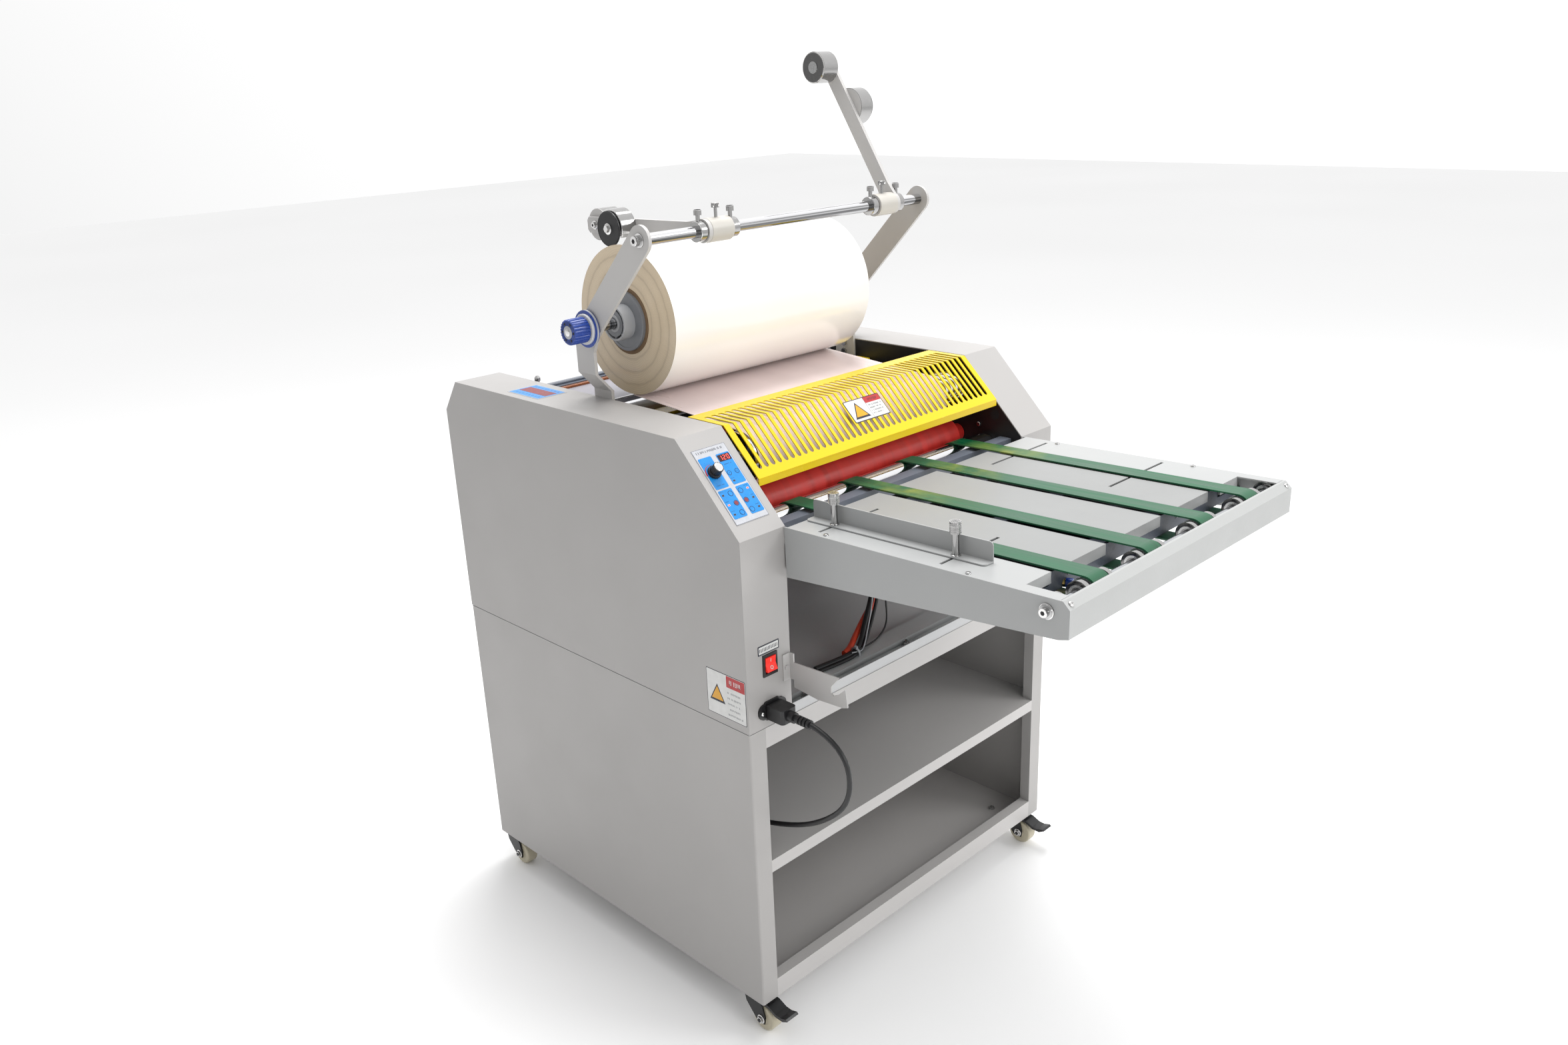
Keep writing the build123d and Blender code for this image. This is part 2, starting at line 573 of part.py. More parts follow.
with BuildPart() as supply_arms:
    for side in (-1, 1):
        foot_in = side * (INNER_HALF - ARM_T)
        foot_out = side * INNER_HALF
        top_in = side * (ARM_HALF - ARM_T)
        top_out = side * ARM_HALF
        half = ARM_W / 2
        # foot, on the inner face of the side plate
        slab(min(foot_in, foot_out), max(foot_in, foot_out), ARM_BASE_STATION - half, ARM_BASE_STATION + half,
             ARM_ROOT_Z, JOGGLE_Z[0])
        # joggle outwards above the housing
        with BuildSketch(Plane.XZ.offset(-at(ARM_BASE_STATION + half))) as joggle:
            with BuildLine():
                Polyline((foot_in, JOGGLE_Z[0]), (foot_out, JOGGLE_Z[0]), (top_out, JOGGLE_Z[1]),
                         (top_in, JOGGLE_Z[1]), close=True)
            make_face()
        extrude(joggle.sketch, amount=ARM_W)
        # upright and the leaning part, with rounded ends
        with BuildSketch(Plane.YZ.offset(min(top_in, top_out))) as blade:
            with BuildLine():
                lean_s = SUPPLY_AXIS[0] - CROSSBAR_AXIS[0]
                lean_z = CROSSBAR_AXIS[1] - SUPPLY_AXIS[1]
                lean = math.hypot(lean_s, lean_z)
                off_s = half * lean_z / lean
                off_z = half * lean_s / lean
                front_lean = (CROSSBAR_AXIS[0] - off_s, CROSSBAR_AXIS[1] - off_z)
                rear_lean = (CROSSBAR_AXIS[0] + off_s, CROSSBAR_AXIS[1] + off_z)
                knee_front = (SUPPLY_AXIS[0] - off_s, SUPPLY_AXIS[1] - off_z)
                knee_rear = (SUPPLY_AXIS[0] + off_s, SUPPLY_AXIS[1] + off_z)
                Polyline(
                    (at(ARM_BASE_STATION - half), JOGGLE_Z[1]), (at(ARM_BASE_STATION - half), 950.0),
                    (at(knee_front[0]), knee_front[1]), (at(front_lean[0]), front_lean[1]),
                    (at(rear_lean[0]), rear_lean[1]), (at(knee_rear[0] + 4), knee_rear[1] - 4),
                    (at(ARM_BASE_STATION + half), 975.0), (at(ARM_BASE_STATION + half), JOGGLE_Z[1]), close=True)
            make_face()
            with Locations((at(CROSSBAR_AXIS[0]), CROSSBAR_AXIS[1])):
                Circle(half)
        extrude(blade.sketch, amount=ARM_T)
        rod_x(SHAFT_R + RUN_FIT, min(top_in, top_out) - 1, max(top_in, top_out) + 1, SUPPLY_AXIS, Mode.SUBTRACT)
save(supply_arms, "supply_arms")

with BuildPart() as crossbar:
    rod_x(CROSSBAR_R, -ARM_HALF + ARM_T, ARM_HALF - ARM_T, CROSSBAR_AXIS)
save(crossbar, "crossbar")

with BuildPart() as supply_shaft:
    rod_x(SHAFT_R, -ARM_HALF - 33, ARM_HALF + 8, SUPPLY_AXIS)
save(supply_shaft, "supply_shaft")

FLANGE_R = 37.9
with BuildPart() as core_flanges:
    for end, out in ((ROLL_X[0], -1), (ROLL_X[1], 1)):
        face = end + out * 1.0
        lip = end + out * 5.0
        hub = end + out * 24.0
        plug = end - out * 26.0
        rod_x(CORE_BORE_R + 4.5, min(face, lip), max(face, lip), SUPPLY_AXIS)
        rod_x(FLANGE_R, min(face, plug), max(face, plug), SUPPLY_AXIS)
        rod_x(19.0, min(lip, hub), max(lip, hub), SUPPLY_AXIS)
        rod_x(SHAFT_R, min(hub, plug) - 1, max(hub, plug) + 1, SUPPLY_AXIS, Mode.SUBTRACT)
save(core_flanges, "core_flanges")

with BuildPart() as film_core:
    rod_x(CORE_R, ROLL_X[0] - 1, ROLL_X[1] + 1, SUPPLY_AXIS)
    rod_x(CORE_BORE_R, ROLL_X[0] - 2, ROLL_X[1] + 2, SUPPLY_AXIS, Mode.SUBTRACT)
save(film_core, "film_core")

with BuildPart() as film_roll:
    rod_x(ROLL_R, ROLL_X[0], ROLL_X[1], SUPPLY_AXIS)
    rod_x(CORE_R, ROLL_X[0] - 1, ROLL_X[1] + 1, SUPPLY_AXIS, Mode.SUBTRACT)
save(film_roll, "film_roll")

# The web of film runs from the underside of the roll to the heated roller.
WEB_T = 0.8
WEB_CLEAR = 0.6
with BuildPart() as film_web:
    wrap = HEAT_R + WEB_CLEAR
    rod_x(wrap + WEB_T, ROLL_X[0], ROLL_X[1], HEAT_AXIS)
    rod_x(wrap, ROLL_X[0], ROLL_X[1], HEAT_AXIS, Mode.SUBTRACT)
    behind = [
        (HEAT_AXIS[0], HEAT_AXIS[1] + HEAT_R * 2), (HEAT_AXIS[0] + HEAT_R * 2, HEAT_AXIS[1] + HEAT_R * 2),
        (HEAT_AXIS[0] + HEAT_R * 2, HEAT_AXIS[1] - HEAT_R * 2), (HEAT_AXIS[0] - 14, HEAT_AXIS[1] - HEAT_R * 2),
        (HEAT_AXIS[0] - 14, HEAT_AXIS[1]), (HEAT_AXIS[0], HEAT_AXIS[1]),
    ]
    profile_x(behind, ROLL_X[0], ROLL_X[1], Mode.SUBTRACT)
    strip = [
        (HEAT_AXIS[0], HEAT_AXIS[1] + wrap), (SUPPLY_AXIS[0] - 2, SUPPLY_AXIS[1] - ROLL_R - WEB_CLEAR - WEB_T),
        (SUPPLY_AXIS[0] - 2, SUPPLY_AXIS[1] - ROLL_R - WEB_CLEAR), (HEAT_AXIS[0], HEAT_AXIS[1] + wrap + WEB_T),
    ]
    profile_x(strip, ROLL_X[0], ROLL_X[1])
save(film_web, "film_web")

# Tension knob on the end of the shaft, with its friction washers
with BuildPart() as tension_knob:
    face = -ARM_HALF - 0.3
    rod_x(24.0, face - 2.5, face, SUPPLY_AXIS)
    rod_x(26.0, face - 6.0, face - 2.5, SUPPLY_AXIS)
    rod_x(15.0, face - 10.0, face - 6.0, SUPPLY_AXIS)
    rod_x(17.0, face - 36.0, face - 10.0, SUPPLY_AXIS)
    chamfer(tension_knob.edges().filter_by(GeomType.CIRCLE).group_by(Axis.X)[0], 1.5)
    rod_x(SHAFT_R + RUN_FIT, face - 33.0, face + 1, SUPPLY_AXIS, Mode.SUBTRACT)
save(tension_knob, "tension_knob")

# ---------------------------------------------------------------------------
# Edge cutters on the crossbar
# ---------------------------------------------------------------------------
HUB_HALF = 20.0
HUB_R = 16.0
BAR_T = 6.0
BAR_HALF = 11.5
BAR_TAIL = 18.0
WEIGHT_R = 23.0
WEIGHT_T = 32.0
HOOD_R = 27.0
HOOD_W = 26.0
HOOD_MOUTH = -12.0
AXLE_R = 4.0
WHEEL_T = 3.0
WHEEL_HUB_R = 8.0
COLLAR_R = 13.5
COLLAR_W = 12.0
COLLAR_GAP = 0.5
CLAMP_R = 3.0
CLAMP_HEAD_R = 5.0
CLAMP_HEAD = (22.0, 29.0)


def swing(angle, reach, lift=0.0):
    """Station and height of a point of the cutter arm, from the crossbar's axis."""
    turn = math.radians(angle)
    return (
        CROSSBAR_AXIS[0] + reach * math.cos(turn) - lift * math.sin(turn),
        CROSSBAR_AXIS[1] + reach * math.sin(turn) + lift * math.cos(turn),
    )


def cutter_unit(name, hub_x, out, angle):
    """One cutter: collars that slide, an arm that lifts, and a wheel that rolls."""
    bar_in = hub_x + out * HUB_HALF
    bar_out = hub_x + out * (HUB_HALF + BAR_T)
    low, high = min(bar_in, bar_out), max(bar_in, bar_out)

    with BuildPart() as collars:
        axis_s, axis_z = CROSSBAR_AXIS
        for face, way in ((bar_out, out), (hub_x - out * HUB_HALF, -out)):
            near = face + way * COLLAR_GAP
            far = near + way * COLLAR_W
            middle = (near + far) / 2
            rod_x(COLLAR_R, min(near, far), max(near, far), CROSSBAR_AXIS)
            rod_z(CLAMP_R, middle, axis_s, axis_z + 11, axis_z + CLAMP_HEAD[0])
            rod_z(CLAMP_HEAD_R, middle, axis_s, axis_z + CLAMP_HEAD[0], axis_z + CLAMP_HEAD[1])
            rod_x(CROSSBAR_R + RUN_FIT, min(near, far) - 1, max(near, far) + 1, CROSSBAR_AXIS, Mode.SUBTRACT)
    save(collars, name + "_cutter_collars")

    with BuildPart() as arm:
        rod_x(HUB_R, hub_x - HUB_HALF, hub_x + HUB_HALF, CROSSBAR_AXIS)
        bar_end = WEIGHT_ARM + BAR_TAIL
        corners = [
            swing(angle, 0, HUB_R - 1), swing(angle, 0, -HUB_R + 1), swing(angle, 30, -BAR_HALF),
            swing(angle, bar_end - 4, -BAR_HALF), swing(angle, bar_end, -BAR_HALF + 5),
            swing(angle, bar_end, BAR_HALF - 5), swing(angle, bar_end - 4, BAR_HALF), swing(angle, 30, BAR_HALF),
        ]
        profile_x(corners, low, high)
        rod_x(HUB_R, low, high, CROSSBAR_AXIS)
        weight_face = hub_x + out * HUB_HALF
        weight_end = hub_x + out * (HUB_HALF - WEIGHT_T)
        rod_x(WEIGHT_R, min(weight_face, weight_end), max(weight_face, weight_end), swing(angle, WEIGHT_ARM))
        rod_x(CROSSBAR_R + RUN_FIT, hub_x - 60, hub_x + 60, CROSSBAR_AXIS, Mode.SUBTRACT)
        # hood around the wheel on the outer side of the bar, open where the film is
        mouth = bar_out + out * HOOD_W
        floor = bar_out + out * SHEET
        rod_x(HOOD_R, min(bar_out, mouth), max(bar_out, mouth), swing(angle, CUTTER_ARM))
        rod_x(HOOD_R - SHEET, min(floor, mouth), max(floor, mouth), swing(angle, CUTTER_ARM), Mode.SUBTRACT)
        below = [
            swing(angle, CUTTER_ARM - 40, HOOD_MOUTH), swing(angle, CUTTER_ARM + 40, HOOD_MOUTH),
            swing(angle, CUTTER_ARM + 40, -40), swing(angle, CUTTER_ARM - 40, -40),
        ]
        profile_x(below, min(bar_out, mouth), max(bar_out, mouth), Mode.SUBTRACT)
        axle_end = bar_out + out * 34
        rod_x(AXLE_R, min(bar_out, axle_end), max(bar_out, axle_end), swing(angle, CUTTER_ARM))
    save(arm, name + "_cutter_arm")

    with BuildPart() as wheel:
        disc_in = bar_out + out * (HOOD_W + 1)
        disc_out = disc_in + out * WHEEL_T
        rod_x(CUTTER_WHEEL_R, min(disc_in, disc_out), max(disc_in, disc_out), swing(angle, CUTTER_ARM))
        hub_in = bar_out + out * (SHEET + 1)
        rod_x(WHEEL_HUB_R, min(hub_in, disc_out), max(hub_in, disc_out), swing(angle, CUTTER_ARM))
        rod_x(AXLE_R + RUN_FIT, min(hub_in, disc_out) - 1, max(hub_in, disc_out) + 1, swing(angle, CUTTER_ARM),
              Mode.SUBTRACT)
    save(wheel, name + "_cutter_wheel")


cutter_unit("left", LEFT_HUB_X, -1, LOWERED_DEG)
cutter_unit("right", RIGHT_HUB_X, 1, RAISED_DEG)

# ---------------------------------------------------------------------------
# Casters: plates on the cabinet floor, forks that swivel, wheels that roll
# ---------------------------------------------------------------------------
CASTER_TOP = CABINET_Z - CASTER_PLATE
FORK_TOP = CASTER_TOP - 5.0
AXLE_Z = WHEEL_R
CASTERS = (
    ("front_left", -CASTER_X, CASTER_STATIONS[0], True), ("front_right", CASTER_X, CASTER_STATIONS[0], True),
    ("rear_left", -CASTER_X, CASTER_STATIONS[1], False), ("rear_right", CASTER_X, CASTER_STATIONS[1], False),
)
FORK_HALF = WHEEL_W / 2 + 1.2
FORK_T = 2.5
KING_R = 5.0
LEVER_HALF = 11.5

with BuildPart() as caster_plates:
    for name, x, station, braked in CASTERS:
        slab(x - 18, x + 18, station - 18, station + 18, CASTER_TOP, CABINET_Z)
        rod_z(KING_R, x, station, FORK_TOP - 4, CASTER_TOP)
        rod_z(15.0, x, station, FORK_TOP + 1.0, CASTER_TOP)
save(caster_plates, "caster_plates")

for name, x, station, braked in CASTERS:
    axle_station = station - CASTER_TRAIL
    with BuildPart() as fork:
        cheek = [
            (station + 15, FORK_TOP), (station + 12, 38), (axle_station + 8, AXLE_Z - 7),
            (axle_station - 6, AXLE_Z - 7), (axle_station - 8, AXLE_Z + 4), (axle_station - 2, 44),
            (station - 15, FORK_TOP),
        ]
        profile_x(cheek, x - FORK_HALF - FORK_T, x - FORK_HALF)
        profile_x(cheek, x + FORK_HALF, x + FORK_HALF + FORK_T)
        slab(x - FORK_HALF, x + FORK_HALF, station - 15, station + 15, FORK_TOP - 3, FORK_TOP)
        rod_x(3.0, x - FORK_HALF - FORK_T - 5, x + FORK_HALF + FORK_T + 5, (axle_station, AXLE_Z))
        rod_z(KING_R + RUN_FIT, x, station, FORK_TOP - 4, FORK_TOP + 1, Mode.SUBTRACT)
    save(fork, "caster_fork_" + name)
    with BuildPart() as wheel:
        rod_x(WHEEL_R, x - WHEEL_W / 2, x + WHEEL_W / 2, (axle_station, AXLE_Z))
        fillet(wheel.edges().filter_by(GeomType.CIRCLE), 3)
        rod_x(3.0 + RUN_FIT, x - WHEEL_W, x + WHEEL_W, (axle_station, AXLE_Z), Mode.SUBTRACT)
    save(wheel, "caster_wheel_" + name)
    if braked:
        with BuildPart() as lever:
            pedal = [
                (station - 20, 50.5), (station - 32, 49.5), (station - 46, 43.5), (station - 56, 43),
                (station - 67, 46.5), (station - 70, 44), (station - 60, 38.5), (station - 46, 38.5),
                (station - 32, 45), (station - 20, 46.2),
            ]
            profile_x(pedal, x - LEVER_HALF, x + LEVER_HALF)
            rod_x(2.5, x - LEVER_HALF, x + LEVER_HALF, (station - 20, 48.3))
        save(lever, "brake_lever_" + name)

# ---------------------------------------------------------------------------
# Controls and mains parts on the left housing
# ---------------------------------------------------------------------------
slope_angle = math.degrees(math.atan2(TOP_Z - NOSE_Z, SLOPE_STATION))
slope_dir = (math.cos(math.radians(slope_angle)), math.sin(math.radians(slope_angle)))
PANEL_X = (-329.0, -272.5)
PANEL_RUN = (22.0, 136.0)
PANEL_T = 0.6


def on_slope(run, lift):
    """A point at a distance up the sloped face and a height above it."""
    return (run * slope_dir[0] - lift * slope_dir[1], NOSE_Z + run * slope_dir[1] + lift * slope_dir[0])


with BuildPart() as control_panel:
    face = [
        on_slope(PANEL_RUN[0], 0), on_slope(PANEL_RUN[1], 0), on_slope(PANEL_RUN[1], PANEL_T),
        on_slope(PANEL_RUN[0], PANEL_T),
    ]
    profile_x(face, PANEL_X[0], PANEL_X[1])
save(control_panel, "control_panel")

KNOB_X = -315.0
KNOB_RUN = 99.0
KNOB_SKIRT_R = 9.0
KNOB_SKIRT_T = 4.0
KNOB_GRIP_R = 7.0
KNOB_GRIP_T = 10.0
knob_foot = on_slope(KNOB_RUN, PANEL_T + 0.4)
knob_plane = Plane(
    origin=(KNOB_X, at(knob_foot[0]), knob_foot[1]),
    x_dir=(1, 0, 0),
    z_dir=(0, -slope_dir[1], slope_dir[0]),
)
with BuildPart() as speed_knob:
    with BuildSketch(knob_plane):
        Circle(KNOB_SKIRT_R)
    extrude(amount=KNOB_SKIRT_T)
    with BuildSketch(knob_plane.offset(KNOB_SKIRT_T)):
        Circle(KNOB_GRIP_R)
    extrude(amount=KNOB_GRIP_T, taper=3)
    fillet(speed_knob.edges().filter_by(GeomType.CIRCLE).group_by(Axis.Z)[-1], 1)
save(speed_knob, "speed_knob")

with BuildPart() as switch_bezel:
    slab(INLET_X - 12.75, INLET_X + 12.75, -2, 0, SWITCH_Z - 15.5, SWITCH_Z + 15.5)
    slab(INLET_X - 10.8, INLET_X + 10.8, 0, 22, SWITCH_Z - 13.7, SWITCH_Z + 13.7)
    slab(INLET_X - 9.4, INLET_X + 9.4, -3, 14, SWITCH_Z - 11.8, SWITCH_Z + 11.8, Mode.SUBTRACT)
save(switch_bezel, "switch_bezel")

ROCKER_PIVOT = (5.0, SWITCH_Z)
ROCKER_REST = 9.0
with BuildPart() as switch_rocker:
    rocker = [
        (-4.8, SWITCH_Z + 9.8), (-2.2, SWITCH_Z), (-4.8, SWITCH_Z - 9.8), (5, SWITCH_Z - 9), (9, SWITCH_Z),
        (5, SWITCH_Z + 9),
    ]
    turn = math.radians(ROCKER_REST)
    tipped = []
    for s, z in rocker:
        ds, dz = s - ROCKER_PIVOT[0], z - ROCKER_PIVOT[1]
        tipped.append((
            ROCKER_PIVOT[0] + ds * math.cos(turn) + dz * math.sin(turn),
            ROCKER_PIVOT[1] - ds * math.sin(turn) + dz * math.cos(turn),
        ))
    profile_x(tipped, INLET_X - 9.0, INLET_X + 9.0)
    rod_x(1.0, INLET_X - 9.3, INLET_X + 9.3, ROCKER_PIVOT)
save(switch_rocker, "switch_rocker")

with BuildPart() as power_inlet:
    with BuildSketch(Plane.XZ.offset(-at(0))) as flange:
        with Locations((INLET_X, INLET_Z)):
            RectangleRounded(50, 22, 10)
            RectangleRounded(30, 27, 5)
        with Locations((INLET_X - 20, INLET_Z), (INLET_X + 20, INLET_Z)):
            Circle(1.7, mode=Mode.SUBTRACT)
    extrude(flange.sketch, amount=3)
    slab(INLET_X - 13.5, INLET_X + 13.5, 0, 24, INLET_Z - 9.8, INLET_Z + 9.8)
    slab(INLET_X - 12.2, INLET_X + 12.2, -4, 16, INLET_Z - 8.2, INLET_Z + 8.2, Mode.SUBTRACT)
    for x in (-7, 0, 7):
        slab(INLET_X + x - 2, INLET_X + x + 2, 5, 17, INLET_Z - 1 + (3 if x == 0 else 0),
             INLET_Z + 1 + (3 if x == 0 else 0))
save(power_inlet, "power_inlet")


# Mains connector in the inlet, with its ribbed strain relief
LEAD_EXIT = 72.0
with BuildPart() as cord_connector:
    slab(INLET_X - 11.8, INLET_X + 11.8, -3, 4, INLET_Z - 7.8, INLET_Z + 7.8)
    slab(INLET_X - 13.5, INLET_X + 13.5, -34, -4.2, INLET_Z - 10, INLET_Z + 10)
    slab(INLET_X - 11.8, INLET_X + 11.8, -4.2, -3, INLET_Z - 7.8, INLET_Z + 7.8)
    fillet(cord_connector.edges().filter_by(Axis.Z).group_by(Axis.Y)[0], 5)
    rod_y(7.5, INLET_X, -44, -34, INLET_Z)
    rod_y(4.6, INLET_X, -LEAD_EXIT, -44, INLET_Z)
    for rib in range(4):
        rod_y(6.2, INLET_X, -50 - 6.0 * rib - 3.2, -50 - 6.0 * rib, INLET_Z)
save(cord_connector, "cord_connector")

# The lead droops from the connector, turns back under the top rail and lies
# in the upper bay, where the rest of it is coiled on the shelf.
COIL_TURN_R = 38.5
COIL_CENTRE = (-225.0, 300.0)
COIL_ROWS = 3
COIL_LAYERS = 2
COIL_SIDE = COIL_CENTRE[0] - COIL_TURN_R - LEAD_D
ROUTE = [
    (INLET_X, -LEAD_EXIT, INLET_Z),
    (INLET_X, -131.0, INLET_Z - 9.0),
    (INLET_X + 3, -140.0, INLET_Z - 90.0),
    (INLET_X + 9, -66.0, INLET_Z - 158.0),
    (INLET_X + 20, 40.0, INLET_Z - 205.0),
    (INLET_X + 31, 128.0, MID_SHELF_Z + LEAD_D / 2 + 1.0),
    (COIL_SIDE, 196.0, MID_SHELF_Z + LEAD_D / 2),
    (COIL_SIDE, COIL_CENTRE[1] - 24.0, MID_SHELF_Z + LEAD_D / 2),
]


def corner_radii(points):
    """The largest easy bend at each corner: 0.45 of the shorter run beside it."""
    radii = []
    for before, corner, after in zip(points, points[1:], points[2:]):
        run_in = Vector(*corner) - Vector(*before)
        run_out = Vector(*after) - Vector(*corner)
        turn = math.radians(run_in.get_angle(run_out))
        radii.append(0.45 * min(run_in.length, run_out.length) / math.tan(turn / 2))
    return radii


lead_points = [(x, at(s), z) for x, s, z in ROUTE]
lead_radii = corner_radii(lead_points)
print("lead bends, mm:", [round(r, 1) for r in lead_radii])
with BuildPart() as power_cord:
    with BuildLine() as lead_line:
        FilletPolyline(*lead_points, radius=lead_radii)
    lead_wire = lead_line.wires()[0]
    with BuildSketch(Plane(origin=lead_wire @ 0, z_dir=lead_wire % 0)) as lead_section:
        Circle(LEAD_D / 2)
    sweep(lead_section.sketch, path=lead_wire)
lead_section_area = math.pi * LEAD_D ** 2 / 4
print("lead length, mm:", round(lead_wire.length, 1))
print("lead volume over section times length:",
      round(power_cord.part.volume / (lead_section_area * lead_wire.length), 4))
save(power_cord, "power_cord")

coil_half = COIL_ROWS * LEAD_D / 2
coil_top = MID_SHELF_Z + COIL_LAYERS * LEAD_D
with BuildPart() as cord_coil:
    rod_z(COIL_TURN_R + coil_half, COIL_CENTRE[0], COIL_CENTRE[1], MID_SHELF_Z, coil_top)
    rod_z(COIL_TURN_R - coil_half, COIL_CENTRE[0], COIL_CENTRE[1], MID_SHELF_Z - 1, coil_top + 1, Mode.SUBTRACT)
    # flat where the lead comes in
    lead_face = ROUTE[-1][1]
    slab(COIL_SIDE - 3.5, COIL_SIDE + 8, lead_face, COIL_CENTRE[1], MID_SHELF_Z, MID_SHELF_Z + LEAD_D)
save(cord_coil, "cord_coil")

PLUG_X = COIL_CENTRE[0] + COIL_TURN_R + LEAD_D
PLUG_BACK = COIL_CENTRE[1] - 60.0
PLUG_Z = MID_SHELF_Z + 1.5 * LEAD_D
with BuildPart() as mains_plug:
    slab(PLUG_X - 14, PLUG_X + 14, PLUG_BACK - 30, PLUG_BACK, MID_SHELF_Z, MID_SHELF_Z + 21)
    fillet(mains_plug.edges().filter_by(Axis.Z), 6)
    rod_y(4.5, PLUG_X, PLUG_BACK, PLUG_BACK + 26, PLUG_Z)
    rod_y(LEAD_D / 2, PLUG_X, PLUG_BACK + 26, COIL_CENTRE[1] - 14, PLUG_Z)
    for dx in (-6.35, 6.35):
        slab(PLUG_X + dx - 0.8, PLUG_X + dx + 0.8, PLUG_BACK - 47, PLUG_BACK - 30, PLUG_Z - 3, PLUG_Z + 3)
    rod_z(COIL_TURN_R + coil_half, COIL_CENTRE[0], COIL_CENTRE[1], MID_SHELF_Z - 1, MID_SHELF_Z + 22,
          Mode.SUBTRACT)
save(mains_plug, "mains_plug")

# ---------------------------------------------------------------------------
# Hook brackets on the housings, wiring in the bay, and visible fasteners
# ---------------------------------------------------------------------------
HOOK_T = 2.0
hook_outline = [
    (0, 587), (-9, 587), (-9, 574), (-90.6, 578), (-76, 561), (-76, 552), (-80, 549), (-88, 553), (-101, 565),
    (-104.5, 540), (-95, 537), (-51, 534), (-9, 538), (-9, 549), (0, 549),
]
with BuildPart() as hook_brackets:
    for side in (-1, 1):
        inner = side * (INNER_HALF + 1)
        outer = side * (INNER_HALF + 1 + HOOK_T)
        profile_x(hook_outline, min(inner, outer), max(inner, outer))
        tab = side * (INNER_HALF + 15)
        slab(min(inner, tab), max(inner, tab), -HOOK_T, 0, 549, 587)
        rod_y(3.0, side * (INNER_HALF + 10), -HOOK_T - 2, -HOOK_T, 568)
save(hook_brackets, "hook_brackets")

BUNDLE_R = 5.0
with BuildPart() as bay_cables:
    for dx, radius, sag in ((0.0, BUNDLE_R, 0.0), (11.0, 4.0, 4.0)):
        bundle = [
            (-196.0 + dx, at(88.0 - sag), 705.0), (-204.0 + dx, at(90.0 - sag), 640.0),
            (-214.0 + dx, at(84.0 - sag), 545.0 + dx), (-240.0 + dx, at(76.0 - sag), DECK_Z + 6.0 + dx / 2),
        ]
        with BuildLine() as run:
            Spline(*bundle)
        with BuildSketch(Plane(origin=run.line @ 0, z_dir=run.line % 0)) as section:
            Circle(radius)
        sweep(section.sketch, path=run.line)
save(bay_cables, "bay_cables")

TABLE_SCREWS = ((-255.4, -67.5), (-256.5, -288.0), (255.4, -67.5), (256.5, -288.0))
with BuildPart() as fasteners:
    # deck and floor bolts
    for x, station in ((4.0, 20.0), (-212.0, 20.0)):
        with BuildSketch(Plane((x, at(station), DECK_Z))) as head:
            RegularPolygon(5.0, 6)
        extrude(head.sketch, amount=4)
    for x, station in ((300.0, 34.0), (286.0, 60.0)):
        with BuildSketch(Plane((x, at(station), CABINET_Z + SHEET))) as head:
            RegularPolygon(5.0, 6)
        extrude(head.sketch, amount=4)
    # crossbar screws and arm screws
    for side in (-1, 1):
        head_in = side * ARM_HALF
        head_out = side * (ARM_HALF + 8)
        rod_x(7.0, min(head_in, head_out), max(head_in, head_out), CROSSBAR_AXIS)
        foot_in = side * (INNER_HALF - ARM_T - 4)
        foot_out = side * (INNER_HALF - ARM_T)
        for z in (855.0, 870.0):
            rod_x(5.0, min(foot_in, foot_out), max(foot_in, foot_out), (ARM_BASE_STATION, z))
        # tension screws of the idler shaft
        tension_in = side * TABLE_HALF
        tension_out = side * (TABLE_HALF + 8)
        rod_x(8.0, min(tension_in, tension_in + side * 1.5), max(tension_in, tension_in + side * 1.5), IDLER_AXIS)
        rod_x(5.0, min(tension_in, tension_out), max(tension_in, tension_out), IDLER_AXIS)
    # small screws through the side plates of the table and the ends of its front rail
    for x, station in TABLE_SCREWS:
        table_rod(3.2, x, station, 0, 1.6)
    # inlet screws
    for dx in (-20, 20):
        rod_y(1.65, INLET_X + dx, -3, 0, INLET_Z)
        rod_y(3.0, INLET_X + dx, -4.6, -3, INLET_Z)
save(fasteners, "fasteners")
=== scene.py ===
"""Looks of the roll laminator: materials, small detail, cords, lights and the camera."""

import json
import math
import random

import bmesh
import bpy
from mathutils import Matrix, Vector


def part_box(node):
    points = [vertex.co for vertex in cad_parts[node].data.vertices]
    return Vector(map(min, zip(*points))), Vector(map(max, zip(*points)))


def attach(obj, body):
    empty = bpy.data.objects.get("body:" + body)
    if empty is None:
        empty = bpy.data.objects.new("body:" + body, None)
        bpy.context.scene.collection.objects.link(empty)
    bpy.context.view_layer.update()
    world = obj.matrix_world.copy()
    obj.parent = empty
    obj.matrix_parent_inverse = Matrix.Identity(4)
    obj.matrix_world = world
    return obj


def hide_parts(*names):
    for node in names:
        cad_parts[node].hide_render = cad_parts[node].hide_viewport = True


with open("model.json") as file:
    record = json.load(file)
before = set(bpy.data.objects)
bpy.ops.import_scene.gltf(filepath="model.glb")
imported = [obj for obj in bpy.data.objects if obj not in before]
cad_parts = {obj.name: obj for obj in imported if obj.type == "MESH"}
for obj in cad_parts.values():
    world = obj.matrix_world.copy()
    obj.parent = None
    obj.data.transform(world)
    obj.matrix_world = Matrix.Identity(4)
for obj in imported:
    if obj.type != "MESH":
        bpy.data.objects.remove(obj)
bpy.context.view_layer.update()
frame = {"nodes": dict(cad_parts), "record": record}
NODES = frame["nodes"]
random.seed(7)

MM = 0.001
LIGHT_LEVEL = 0.72
FRONT_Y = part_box("cabinet_shell")[0].y


def at(x, station, z):
    """Millimetres, with a station behind the cabinet's front face, to metres in the frame."""
    return Vector((x * MM, FRONT_Y + station * MM, z * MM))


def middle_of(node):
    low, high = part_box(node)
    return (low + high) / 2


